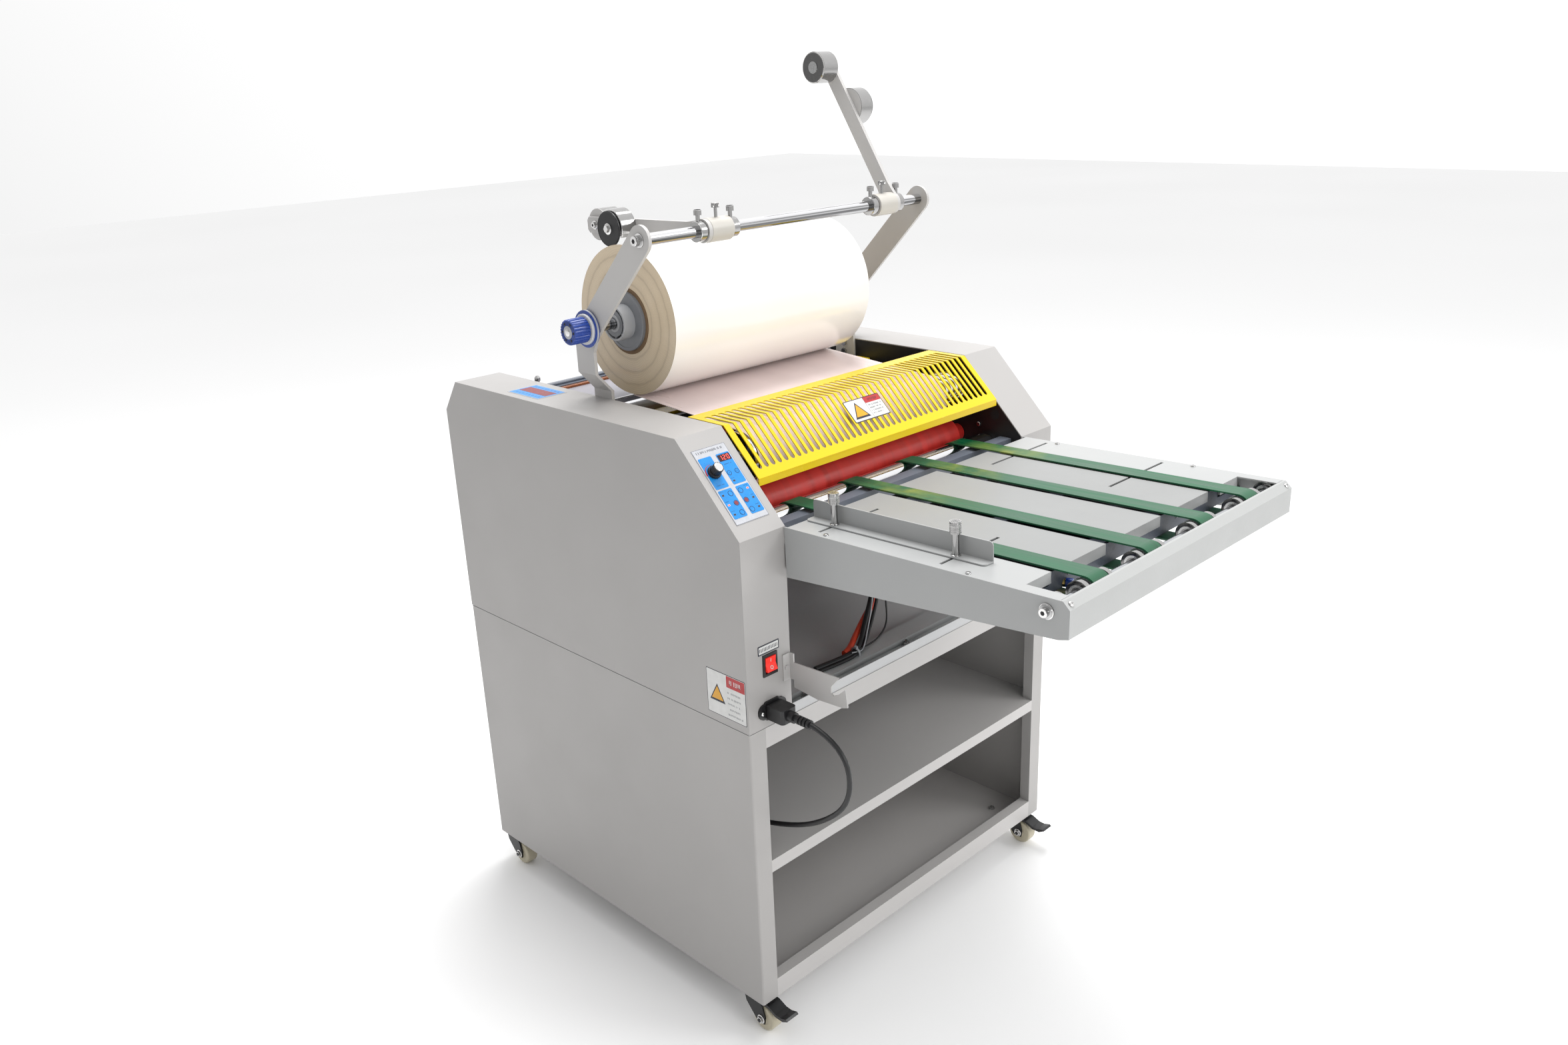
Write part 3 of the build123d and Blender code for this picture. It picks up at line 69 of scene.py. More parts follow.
def add_object(name, data):
    item = bpy.data.objects.new(name, data)
    bpy.context.collection.objects.link(item)
    return item


def polar(radius, angle, centre=(0.0, 0.0)):
    return centre[0] + radius * math.cos(angle), centre[1] + radius * math.sin(angle)


# --- Camera ---
def make_camera():
    data = bpy.data.cameras.new("camera")
    data.sensor_width = 36.0
    data.lens = 29.09
    data.clip_start = 0.05
    camera = add_object("camera", data)
    right = Vector((0.7055, -0.7077, -0.0375)).normalized()
    forward = Vector((0.6577, 0.6734, -0.3374)).normalized()
    up = right.cross(forward).normalized()
    right = forward.cross(up).normalized()
    turn = Matrix((right, up, -forward)).transposed()
    camera.matrix_world = Matrix.Translation((-1.3251, -1.2111, 1.3147)) @ turn.to_4x4()
    bpy.context.scene.camera = camera


make_camera()


# --- Material helpers ---
# Sockets of a mix node in its colour mode, where several share one name.
MIX_FIRST, MIX_SECOND, MIX_COLOR = 6, 7, 2


class Shader:
    """A material with one Principled shader, and short calls for the nodes that feed it."""

    def __init__(self, name, color, roughness=0.5, metallic=0.0, **fixed):
        self.material = bpy.data.materials.new(name)
        self.material.use_nodes = True
        self.material.diffuse_color = (*color, 1.0)
        self.tree = self.material.node_tree
        self.bsdf = self.tree.nodes["Principled BSDF"]
        self.set("Base Color", (*color, 1.0))
        self.set("Roughness", roughness)
        self.set("Metallic", metallic)
        for socket, value in fixed.items():
            self.set(socket.replace("_", " "), value)
        self.height = None

    def set(self, socket, value):
        self.bsdf.inputs[socket].default_value = value

    def node(self, kind, **inputs):
        node = self.tree.nodes.new(kind)
        for socket, value in inputs.items():
            node.inputs[socket.replace("_", " ")].default_value = value
        return node

    def link(self, source, target):
        self.tree.links.new(source, target)

    def feed(self, source, socket):
        """Links an output to a socket, or sets the socket to a constant."""
        if isinstance(source, bpy.types.NodeSocket):
            self.link(source, socket)
        else:
            socket.default_value = source

    def place(self, scale=(1.0, 1.0, 1.0), shift=(0.0, 0.0, 0.0)):
        """Object coordinates in metres, stretched by scale and moved by shift."""
        mapping = self.node("ShaderNodeMapping", Scale=scale, Location=shift)
        self.link(self.node("ShaderNodeTexCoord").outputs["Object"], mapping.inputs["Vector"])
        return mapping.outputs["Vector"]

    def axis(self, kind, name):
        """One axis of the "Object" coordinates, or of the surface's "Normal"."""
        split = self.node("ShaderNodeSeparateXYZ")
        self.link(self.node("ShaderNodeTexCoord").outputs[kind], split.inputs["Vector"])
        return split.outputs[name]

    def math(self, operation, *values):
        node = self.node("ShaderNodeMath")
        node.operation = operation
        for value, socket in zip(values, node.inputs):
            self.feed(value, socket)
        return node.outputs[0]

    def mix(self, factor, first, second, blend="MIX"):
        """Mixes two colours; each value is an output or a constant."""
        node = self.node("ShaderNodeMix")
        node.data_type = "RGBA"
        node.blend_type = blend
        self.feed(factor, node.inputs["Factor"])
        self.feed(first, node.inputs[MIX_FIRST])
        self.feed(second, node.inputs[MIX_SECOND])
        return node.outputs[MIX_COLOR]

    def rings(self, vector, **settings):
        """Rings about the X axis."""
        node = self.node("ShaderNodeTexWave", **settings)
        node.wave_type = "RINGS"
        node.rings_direction = "X"
        self.link(vector, node.inputs["Vector"])
        return node.outputs["Fac"]

    def noise(self, scale, detail=3.0, roughness=0.55, stretch=(1.0, 1.0, 1.0)):
        node = self.node("ShaderNodeTexNoise", Scale=scale, Detail=detail, Roughness=roughness)
        self.link(self.place(stretch), node.inputs["Vector"])
        return node.outputs["Fac"]

    def ramp(self, factor, stops):
        node = self.node("ShaderNodeValToRGB")
        elements = node.color_ramp.elements
        elements[0].position, elements[0].color = stops[0][0], (*stops[0][1], 1.0)
        elements[1].position, elements[1].color = stops[-1][0], (*stops[-1][1], 1.0)
        for position, color in stops[1:-1]:
            elements.new(position).color = (*color, 1.0)
        self.link(factor, node.inputs["Fac"])
        return node.outputs["Color"]

    def spread(self, factor, low, high, start=0.0, end=1.0):
        """Maps a factor from start..end to low..high."""
        node = self.node("ShaderNodeMapRange")
        limits = {"From Min": start, "From Max": end, "To Min": low, "To Max": high}
        for socket, value in limits.items():
            node.inputs[socket].default_value = value
        self.link(factor, node.inputs["Value"])
        return node.outputs["Result"]

    def color(self, output):
        self.link(output, self.bsdf.inputs["Base Color"])

    def rough(self, output):
        self.link(output, self.bsdf.inputs["Roughness"])

    def bump(self, factor, strength, distance):
        node = self.node("ShaderNodeBump", Strength=strength, Distance=distance)
        self.link(factor, node.inputs["Height"])
        if self.height is not None:
            self.link(self.height.outputs["Normal"], node.inputs["Normal"])
        self.height = node
        self.link(node.outputs["Normal"], self.bsdf.inputs["Normal"])


def srgb(red, green, blue):
    """Surface colour that reads as these 0-255 screen values under this scene's light."""
    values = [v / 255 for v in (red, green, blue)]
    return tuple(
        LIGHT_LEVEL * (v / 12.92 if v <= 0.04 else ((v + 0.055) / 1.055) ** 2.4) for v in values
    )


def tint(color, amount):
    return tuple(min(1.0, max(0.0, c * amount)) for c in color)


def powder_coat(name, color, roughness=0.42):
    """Baked powder: a fine orange peel, faint cloudiness and an uneven gloss."""
    shader = Shader(name, color, roughness, Specular_IOR_Level=0.45)
    cloud = shader.noise(3.0, 2.0)
    shader.color(shader.ramp(cloud, [(0.3, tint(color, 0.965)), (0.7, tint(color, 1.03))]))
    shader.rough(shader.spread(shader.noise(9.0, 4.0), roughness - 0.05, roughness + 0.07, 0.3, 0.7))
    shader.bump(shader.noise(900.0, 2.0), 0.10, 0.0004)
    shader.bump(shader.noise(260.0, 2.0), 0.05, 0.0005)
    return shader.material


def bright_metal(name, color, roughness, brush=(1.0, 1.0, 1.0), streak=0.05, bands=()):
    """Plated metal with fine marks. Bands are (how far up it faces, brightness): painted reflection, chrome's long
    bright and dark streaks set into the colour by which way the surface faces.
    """
    shader = Shader(name, color, roughness, metallic=1.0)
    marks = shader.noise(180.0, 4.0, stretch=brush)
    shader.rough(shader.spread(marks, max(0.02, roughness - streak), roughness + streak, 0.3, 0.7))
    if bands:
        # Painted reflection: the colour brightens and darkens with how far up the surface faces.
        facing = shader.spread(shader.axis("Normal", "Z"), 0.0, 1.0, -1.0, 1.0)
        shader.color(shader.ramp(facing, [(where, tint(color, amount)) for where, amount in bands]))
    else:
        shader.color(shader.ramp(shader.noise(14.0, 2.0), [(0.3, tint(color, 0.93)), (0.7, color)]))
    shader.bump(marks, 0.03, 0.0002)
    return shader.material


# Painted reflection for chrome: (how far up the surface faces, brightness) pairs, the streaks its surroundings make
# on it.
CHROME_REFLECTION_BANDS = (
    (0.0, 0.35), (0.22, 0.75), (0.34, 0.22), (0.46, 0.3), (0.55, 1.1), (0.66, 0.28), (0.76, 1.2), (1.0, 1.3),
)


def moulded(name, color, roughness=0.5, grain=700.0, strength=0.12):
    """Injection-moulded plastic with a fine spark-eroded grain."""
    shader = Shader(name, color, roughness)
    shader.color(shader.ramp(shader.noise(25.0, 2.0), [(0.3, tint(color, 0.9)), (0.7, tint(color, 1.08))]))
    shader.rough(shader.spread(shader.noise(60.0, 3.0), roughness - 0.06, roughness + 0.08, 0.3, 0.7))
    shader.bump(shader.noise(grain, 2.0), strength, 0.0003)
    return shader.material


def silicone(name, color):
    """Moulded silicone sleeve: soft bands across its length, dark bands of painted shadow from the guard's slots with
    lighter red between them.
    """
    shader = Shader(name, color, 0.38)
    # Painted shadow: bands across the roller's length, darker where the guard's slots shade it and lighter between.
    bands = shader.noise(60.0, 3.0, stretch=(1.0, 0.02, 0.02))
    shader.color(shader.ramp(bands, [(0.3, tint(color, 0.82)), (0.52, tint(color, 1.05)), (0.72, tint(color, 1.25))]))
    shader.rough(shader.spread(bands, 0.3, 0.5, 0.3, 0.7))
    shader.bump(shader.noise(120.0, 3.0, stretch=(1.0, 0.1, 0.1)), 0.1, 0.0005)
    return shader.material


def belting(name, color):
    """Green polyurethane belt: fine fabric, a worn sheen, and a yellowed patch towards its rear end."""
    shader = Shader(name, color, 0.34)
    scuffs = shader.noise(30.0, 5.0, stretch=(4.0, 0.25, 1.0))
    base = shader.ramp(scuffs, [(0.3, tint(color, 0.8)), (0.55, color), (0.75, tint(color, 1.35))])
    along = shader.axis("Object", "Y")
    rise = shader.spread(along, 0.0, 1.0, FRONT_Y - 0.12, FRONT_Y - 0.03)
    fall = shader.spread(along, 1.0, 0.0, FRONT_Y - 0.02, FRONT_Y + 0.05)
    blotches = shader.spread(shader.noise(24.0, 4.0), 0.0, 1.0, 0.4, 0.65)
    worn = shader.math("MULTIPLY", shader.math("MULTIPLY", rise, fall), blotches)
    shader.color(shader.mix(worn, base, (*srgb(128, 142, 52), 1.0)))
    shader.rough(shader.spread(scuffs, 0.24, 0.5, 0.3, 0.75))
    shader.bump(shader.noise(1400.0, 2.0), 0.15, 0.0003)
    return shader.material


def film_side(name):
    """Wound film: a glossy warm white side, and ends of tight buff rings with dark age marks."""
    side_color = (0.86, 0.845, 0.825)
    shader = Shader(name, side_color, 0.2, Coat_Weight=0.4, Coat_Roughness=0.08)
    soft = shader.noise(6.0, 2.0, stretch=(1.0, 0.4, 0.4))
    side = shader.ramp(soft, [(0.3, tint(side_color, 0.97)), (0.7, tint(side_color, 1.02))])
    centre = middle_of("film_roll")
    about_core = shader.place(shift=(0.0, -centre.y, -centre.z))
    rings = shader.rings(about_core, Scale=210.0, Distortion=1.2, Detail=3.0, Detail_Scale=8.0)
    wide = shader.rings(about_core, Scale=17.0, Distortion=0.8, Detail=2.0, Detail_Scale=3.0)
    fine = shader.ramp(rings, [(0.0, (0.50, 0.40, 0.28)), (0.3, (0.66, 0.54, 0.38)), (1.0, (0.76, 0.64, 0.47))])
    marks = shader.ramp(wide, [(0.0, (0.38, 0.33, 0.27)), (0.12, (0.84, 0.82, 0.78)), (1.0, (1.0, 1.0, 0.98))])
    end_color = shader.mix(0.3, fine, marks, "MULTIPLY")
    end = shader.spread(shader.math("ABSOLUTE", shader.axis("Normal", "X")), 0.0, 1.0, 0.4, 0.6)
    shader.color(shader.mix(end, side, end_color))
    shader.rough(shader.spread(end, 0.2, 0.6))
    shader.bump(rings, 0.12, 0.0004)
    return shader.material


def film_web(name):
    """Unwound film with a paper backing: pinkish white with faint lengthwise waves."""
    color = (0.76, 0.64, 0.62)
    shader = Shader(name, color, 0.3)
    waves = shader.noise(16.0, 3.0, stretch=(1.0, 0.12, 0.12))
    shader.color(shader.ramp(waves, [(0.3, tint(color, 0.93)), (0.7, tint(color, 1.05))]))
    shader.rough(shader.spread(waves, 0.26, 0.4, 0.3, 0.7))
    shader.bump(waves, 0.35, 0.006)
    return shader.material


def rail_paint_and_pan_shade(name):
    """The table's front rail in its pale paint, and painted shade on the bars and pan behind it: the same paint drawn
    dark grey.
    """
    pale = (0.36, 0.366, 0.362)
    shader = Shader(name, pale, 0.4, Specular_IOR_Level=0.45)
    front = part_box("table_rails")[0].y
    # Painted shade: dark grey from just behind the front rail backwards, where the bars and pan lie in shade.
    pan_shade = shader.spread(shader.axis("Object", "Y"), 0.0, 1.0, front + 0.026, front + 0.028)
    shader.color(shader.ramp(pan_shade, [(0.0, pale), (1.0, srgb(88, 94, 106))]))
    shader.rough(shader.spread(shader.noise(20.0, 3.0), 0.34, 0.5, 0.3, 0.7))
    shader.bump(shader.noise(420.0, 3.0), 0.35, 0.0006)
    return shader.material


def print_ink(name, color, roughness=0.4):
    """Printed or moulded colour on a label or key, a little uneven."""
    shader = Shader(name, color, roughness)
    shader.color(shader.ramp(shader.noise(90.0, 2.0), [(0.3, tint(color, 0.94)), (0.7, tint(color, 1.04))]))
    shader.rough(shader.spread(shader.noise(200.0, 2.0), roughness - 0.06, roughness + 0.06, 0.3, 0.7))
    return shader.material


def lit(name, color, strength):
    shader = Shader(name, color, 0.3, Emission_Color=(*color, 1.0), Emission_Strength=strength)
    shader.color(shader.ramp(shader.noise(300.0, 1.0), [(0.3, tint(color, 0.9)), (0.7, color)]))
    return shader.material


MATERIAL_RECIPES = {
    "cabinet_paint": (powder_coat, (0.365, 0.354, 0.346)),
    "table_paint": (powder_coat, (0.362, 0.368, 0.367), 0.34),
    "arm_paint": (powder_coat, (0.47, 0.46, 0.45), 0.36),
    "black_paint": (powder_coat, (0.009, 0.009, 0.010), 0.36),
    "dark_grey_metal": (powder_coat, (0.06, 0.065, 0.075), 0.45),
    "yellow_paint": (powder_coat, srgb(250, 215, 5), 0.26),
    "polished_steel": (bright_metal, (0.60, 0.60, 0.61), 0.10, (0.05, 1.0, 1.0), 0.05, CHROME_REFLECTION_BANDS),
    "nickel_plate": (bright_metal, (0.58, 0.575, 0.57), 0.14, (1.0, 1.0, 1.0), 0.05, CHROME_REFLECTION_BANDS),
    "zinc_plate": (bright_metal, (0.5, 0.5, 0.5), 0.26),
    "machined_aluminium": (bright_metal, (0.46, 0.47, 0.49), 0.22),
    "red_silicone": (silicone, srgb(206, 44, 36)),
    "green_belt": (belting, srgb(0, 96, 58)),
    "grey_plastic": (moulded, srgb(140, 143, 148), 0.36),
    "brown_card": (moulded, srgb(138, 112, 84), 0.8, 300.0, 0.3),
    "clear_film": (film_side,),
    "blue_plastic": (moulded, srgb(36, 74, 168), 0.28),
    "black_plastic": (moulded, (0.010, 0.010, 0.011), 0.38),
    "cream_nylon": (moulded, srgb(214, 205, 180), 0.4),
    "red_lens": (lit, (0.85, 0.03, 0.02), 0.25),
    "cord_black": (moulded, (0.010, 0.010, 0.011), 0.42, 500.0, 0.1),
    "panel_film": (print_ink, srgb(206, 208, 214), 0.3),
}
MATERIALS = {name: maker(name, *values) for name, (maker, *values) in MATERIAL_RECIPES.items()}
BLUE_INK = print_ink("blue_ink", srgb(20, 148, 232), 0.3)
KEY_BLUE = print_ink("key_blue", srgb(12, 112, 190), 0.35)
DARK_INK = print_ink("dark_ink", srgb(28, 34, 52), 0.45)
RED_INK = print_ink("red_ink", srgb(196, 44, 48), 0.4)
DULL_RED = print_ink("dull_red", srgb(146, 52, 60), 0.4)
WHITE_INK = print_ink("white_ink", srgb(238, 238, 236), 0.35)
GREY_INK = print_ink("grey_ink", srgb(110, 114, 122), 0.5)
AMBER_INK = print_ink("amber_ink", srgb(246, 178, 28), 0.35)
SCREEN = print_ink("screen_glass", srgb(58, 8, 16), 0.12)
LIT_RED = lit("lit_red", (1.0, 0.08, 0.06), 1.5)
COPPER = bright_metal("copper_strip", srgb(196, 128, 92), 0.3)
BRASS = bright_metal("brass", srgb(206, 176, 112), 0.22)
STEEL = MATERIALS["nickel_plate"]
SATIN = MATERIALS["zinc_plate"]
HUB_PAINT = powder_coat("hub_paint", srgb(214, 210, 202), 0.34)
ORANGE = moulded("orange_rubber", srgb(232, 70, 34), 0.4)
# Painted shade: a near-black finish on sockets, recesses, holes and slots, standing in for the shade inside them.
RECESS_SHADE = moulded("painted_recess_shade", (0.006, 0.006, 0.007), 0.6)
PALE_PLASTIC = moulded("pale_plastic", srgb(190, 192, 196), 0.35)
OWN_FINISH = {
    "film_web": film_web("film_web_surface"),
    "top_cover": powder_coat("lilac_plate", srgb(170, 168, 176), 0.4),
    "table_rails": rail_paint_and_pan_shade("rail_paint_and_pan_shade"),
    "tie_bars": powder_coat("bar_paint", srgb(112, 118, 130), 0.3),
    # Painted shade: the table's plates get a darker copy of the table's paint, holding their up-facing tops down
    # under the strong top light.
    "table_plates": powder_coat("plate_paint", (0.252, 0.256, 0.255), 0.34),
    # Painted light: the shelves get a lighter copy of the cabinet's paint, for the light that falls into the cabinet
    # from the front.
    "cabinet_shelves": powder_coat("shelf_paint_lit", (0.46, 0.447, 0.438)),
    "bay_deck": powder_coat("deck_paint", (0.47, 0.475, 0.48), 0.36),
}

for row in frame["record"]["subparts"]:
    node = NODES[row["node"]]
    finish = OWN_FINISH.get(row["node"], MATERIALS[row["material_slot"]])
    if not node.material_slots:
        node.data.materials.append(finish)
    for place in node.material_slots:
        place.material = finish
FOLD_ANGLE = 38.0
FOLDED_NODES = (
    "cabinet_shell", "cabinet_shelves", "housing_covers", "table_sides", "table_rails", "side_guide",
    "supply_arms", "left_cutter_arm", "right_cutter_arm", "hook_brackets", "tie_bars",
)
for bent in FOLDED_NODES:
    edges = NODES[bent].modifiers.new("folds", "BEVEL")
    edges.width = 0.0006
    edges.segments = 2
    edges.limit_method = "ANGLE"
    edges.angle_limit = math.radians(FOLD_ANGLE)
    edges.harden_normals = True
bpy.context.scene.view_settings.view_transform = "Standard"


# --- Floor and light ---
# The surroundings' brightness is WORLD_LEVEL plus the part of a direction that lies along WORLD_LEAN.
WORLD_LEAN = (0.46, 0.06, 0.30)
WORLD_LEVEL = 0.76
FLOOR_REACH = 14.0


def make_stage():
    world = bpy.data.worlds.new("studio")
    bpy.context.scene.world = world
    world.use_nodes = True
    tree = world.node_tree
    background = tree.nodes["Background"]
    background.inputs["Color"].default_value = (1.0, 1.0, 1.0, 1.0)
    direction = tree.nodes.new("ShaderNodeTexCoord")
    lean = tree.nodes.new("ShaderNodeVectorMath")
    lean.operation = "DOT_PRODUCT"
    lean.inputs[1].default_value = WORLD_LEAN
    tree.links.new(direction.outputs["Generated"], lean.inputs[0])
    level = tree.nodes.new("ShaderNodeMath")
    level.operation = "ADD"
    level.inputs[1].default_value = WORLD_LEVEL
    tree.links.new(lean.outputs["Value"], level.inputs[0])
    tree.links.new(level.outputs[0], background.inputs["Strength"])
    mesh = bpy.data.meshes.new("floor")
    r = FLOOR_REACH
    mesh.from_pydata([(-r, -r, 0), (r, -r, 0), (r, r, 0), (-r, r, 0)], [], [(0, 1, 2, 3)])
    floor = add_object("floor", mesh)
    shader = Shader("floor", (0.93, 0.93, 0.93), 0.9)
    shader.color(shader.ramp(shader.noise(0.4, 1.0), [(0.3, (0.92, 0.92, 0.92)), (0.7, (0.94, 0.94, 0.94))]))
    floor.data.materials.append(shader.material)


def area_light(name, spot, target, size, power):
    data = bpy.data.lights.new(name, "AREA")
    data.shape = "RECTANGLE"
    data.size, data.size_y = size
    data.energy = power
    light = add_object(name, data)
    spot, target = Vector(spot), Vector(target)
    light.location = spot
    light.rotation_euler = (target - spot).to_track_quat("-Z", "Y").to_euler()


make_stage()
area_light("front_softbox", (1.7, -2.6, 2.7), (0.0, 0.0, 0.7), (1.4, 1.2), 32.0)
area_light("low_softbox", (-0.3, -3.1, 1.55), (0.0, 0.0, 0.5), (2.0, 0.9), 24.0)
area_light("top_softbox", (0.5, 0.5, 3.4), (0.0, 0.0, 0.8), (1.6, 1.6), 84.0)


# --- Small pieces: each is built in millimetres in its own plane (across, up, out) ---
CORNER_STEPS = 5
SMOOTH_ANGLE = 38.0


def plane(origin, across, up):
    """A frame whose Z points out of the surface that across and up lie in."""
    across, up = Vector(across).normalized(), Vector(up).normalized()
    turn = Matrix((across, up, across.cross(up))).transposed().to_4x4()
    return Matrix.Translation(origin) @ turn


def rounded(u0, u1, v0, v1, radius):
    """The outline of a rectangle with rounded corners."""
    r = max(radius, 0.01)
    corners = ((u1 - r, v1 - r), (u0 + r, v1 - r), (u0 + r, v0 + r), (u1 - r, v0 + r))
    return [
        polar(r, math.radians(90 * quarter + 90 * step / CORNER_STEPS), centre)
        for quarter, centre in enumerate(corners) for step in range(CORNER_STEPS + 1)
    ]


def circle(radius, steps=32, centre=(0.0, 0.0)):
    return [polar(radius, 2 * math.pi * i / steps, centre) for i in range(steps)]


def ribbed(radius, depth, teeth):
    """A round outline with a rib for each tooth."""
    tooth_form = ((0.0, radius - depth), (0.25, radius), (0.6, radius), (0.85, radius - depth))
    return [polar(r, 2 * math.pi * (tooth + part) / teeth) for tooth in range(teeth) for part, r in tooth_form]


class Piece:
    """A piece made of several forms, each with its own material."""

    def __init__(self, name, place):
        self.name = name
        self.place = place
        self.bm = bmesh.new()
        self.finishes = []

    def index(self, material):
        if material not in self.finishes:
            self.finishes.append(material)
        return self.finishes.index(material)

    def rings(self, outlines, material, close=True):
        """Skins a stack of outlines, each (points, out), and caps both ends."""
        index = self.index(material)
        loops = [[self.bm.verts.new((u * MM, v * MM, out * MM)) for u, v in points] for points, out in outlines]
        faces = []
        for low, high in zip(loops, loops[1:]):
            for i in range(len(low)):
                j = (i + 1) % len(low)
                faces.append(self.bm.faces.new((low[i], low[j], high[j], high[i])))
        if close:
            faces.append(self.bm.faces.new(list(reversed(loops[0]))))
            faces.append(self.bm.faces.new(loops[-1]))
        for face in faces:
            face.material_index = index
        return self

    def plate(self, u0, u1, v0, v1, out0, out1, material, radius=0.4, edge=0.12):
        edge = min(edge, (out1 - out0) * 0.45)
        outer = rounded(u0, u1, v0, v1, radius)
        inner = rounded(u0 + edge, u1 - edge, v0 + edge, v1 - edge, radius - edge)
        return self.rings([(outer, out0), (outer, out1 - edge), (inner, out1)], material)

    def prism(self, points, out0, out1, material, shrink=0.98):
        cu = sum(p[0] for p in points) / len(points)
        cv = sum(p[1] for p in points) / len(points)
        top = [(cu + (u - cu) * shrink, cv + (v - cv) * shrink) for u, v in points]
        edge = (out1 - out0) * 0.15
        return self.rings([(points, out0), (points, out1 - edge), (top, out1)], material)

    def turned(self, profile, material, centre=(0.0, 0.0), steps=40):
        """A turned form: (radius, out) pairs from its foot to its top."""
        return self.rings([(circle(r, steps, centre), out) for r, out in profile], material)

    def tube(self, profile, material, centre=(0.0, 0.0), steps=48):
        """A turned ring whose closed section is (radius, out) pairs."""
        return self.rings([(circle(r, steps, centre), out) for r, out in profile + profile[:1]], material, False)

    def done(self, body="frame", slot=None):
        mesh = bpy.data.meshes.new(self.name)
        bmesh.ops.recalc_face_normals(self.bm, faces=self.bm.faces)
        self.bm.to_mesh(mesh)
        self.bm.free()
        for polygon in mesh.polygons:
            polygon.use_smooth = True
        mesh.set_sharp_from_angle(angle=math.radians(SMOOTH_ANGLE))
        for material in self.finishes:
            mesh.materials.append(material)
        piece = add_object(self.name, mesh)
        piece.matrix_world = self.place
        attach(piece, body)
        return piece


X_OUT, Y_OUT, Z_OUT = Vector((1, 0, 0)), Vector((0, 1, 0)), Vector((0, 0, 1))


def facing_left(x, station, z):
    """A plane that faces -X: across runs towards the front, up is vertical."""
    return plane(at(x, station, z), -Y_OUT, Z_OUT)


def facing_right(x, station, z):
    return plane(at(x, station, z), Y_OUT, Z_OUT)


def facing_front(x, station, z):
    return plane(at(x, station, z), X_OUT, Z_OUT)


def facing_up(x, station, z):
    return plane(at(x, station, z), X_OUT, Y_OUT)


def hex_bolt(piece, radius, height, out0, material, washer=None, centre=(0.0, 0.0)):
    if washer:
        piece.turned([(washer, out0), (washer, out0 + 0.9), (washer - 0.4, out0 + 1.2)], material, centre)
        out0 = out0 + 1.2
    hexagon = circle(radius, 6, centre)
    top = circle(radius * 0.9, 6, centre)
    piece.rings([(hexagon, out0), (hexagon, out0 + height * 0.85), (top, out0 + height)], material)


def cap_screw(piece, radius, height, out0, material, washer=None, centre=(0.0, 0.0)):
    """A socket-head screw: round head over a washer, its hexagon socket drawn as a thin dark hexagon of painted
    shade.
    """
    if washer:
        piece.turned([(washer, out0), (washer, out0 + 1.0), (washer - 0.4, out0 + 1.4)], material, centre)
        out0 = out0 + 1.4
    piece.turned([(radius, out0), (radius, out0 + height - 0.5), (radius - 0.5, out0 + height)], material, centre)
    # The socket: a flat hexagon of painted shade on the head, not a recess.
    socket = circle(radius * 0.5, 6, centre)
    piece.rings([(socket, out0 + height - 0.1), (socket, out0 + height + 0.05)], RECESS_SHADE)


def cross_screw(piece, radius, out0, material, centre=(0.0, 0.0)):
    """A small domed screw, its cross recess drawn as two thin bars of painted shade."""
    dome = [(radius, out0), (radius * 0.96, out0 + radius * 0.2), (radius * 0.75, out0 + radius * 0.42),
            (radius * 0.35, out0 + radius * 0.52)]
    piece.turned(dome, material, centre, 28)
    cu, cv = centre
    arm, wide = radius * 0.45, radius * 0.11
    level = out0 + radius * 0.5
    # The cross recess: two flat bars of painted shade.
    piece.plate(cu - arm, cu + arm, cv - wide, cv + wide, level, level + 0.12, RECESS_SHADE, 0.05, 0.02)
    piece.plate(cu - wide, cu + wide, cv - arm, cv + arm, level, level + 0.12, RECESS_SHADE, 0.05, 0.02)


# --- Control panel ---
# The panel lies on the housing's slope, which starts at SLOPE_Z; the knob is KNOB_RUN mm up it.
SLOPE = Vector((0, 112, 114)).normalized()
SLOPE_Z = 764
KNOB_RUN = 99
SCALE_STEPS = 14
SEGMENTS = {
    "a": (0.6, 2.9, 6.3, 7.1), "g": (0.6, 2.9, 3.2, 4), "d": (0.6, 2.9, 0, 0.8), "f": (0, 0.8, 3.8, 6.7),
    "b": (2.7, 3.5, 3.8, 6.7), "e": (0, 0.8, 0.4, 3.4), "c": (2.7, 3.5, 0.4, 3.4),
}
DIGITS = ("bc", "abdeg", "abcdef")
PANEL_BORDERS = (
    (-328.8, -272.7, 135.4, 135.8), (-328.8, -272.7, 22.2, 22.6),
    (-328.8, -328.4, 22.2, 135.8), (-273.1, -272.7, 22.2, 135.8),
)
PANEL_FIELDS = (
    (-326.6, -304.6, 75.4, 122.8), (-296.6, -274.6, 75.4, 122.4),
    (-326.4, -304, 30.3, 73), (-297, -274.7, 30.2, 72.5),
)


def strokes(piece, u0, u1, v0, v1, out, material, pitch=1.5, gap_chance=0.14):
    """A row of small upright marks where the real panel has a printed line."""
    u = u0
    while u < u1 - 0.6:
        if random.random() > gap_chance:
            foot = v0 + random.choice((0, 0, (v1 - v0) * 0.3))
            piece.plate(u, u + pitch * 0.42, foot, v1, out, out + 0.05, material, 0.05, 0.01)
            if random.random() > 0.5:
                piece.plate(u, u + pitch * 0.62, v0, v0 + (v1 - v0) * 0.22, out, out + 0.05, material, 0.05, 0.01)
        u += pitch


def round_key(piece, u, v, radius, cap, ring):
    piece.tube([(radius, 0.9), (radius - 0.5, 0.9), (radius - 0.5, 1.12), (radius, 1.12)], ring, (u, v), 32)
    piece.turned([(radius - 0.9, 0.9), (radius - 0.9, 1.05), (radius - 1.5, 1.15)], cap, (u, v), 32)


def lamp(piece, u, v, on):
    piece.plate(u - 1.9, u + 1.9, v - 1.3, v + 1.3, 0.9, 1.04, WHITE_INK if on else GREY_INK, 0.5, 0.05)
    piece.plate(u - 1.5, u + 1.5, v - 0.95, v + 0.95, 1, 1.12, LIT_RED if on else DARK_INK, 0.4, 0.05)


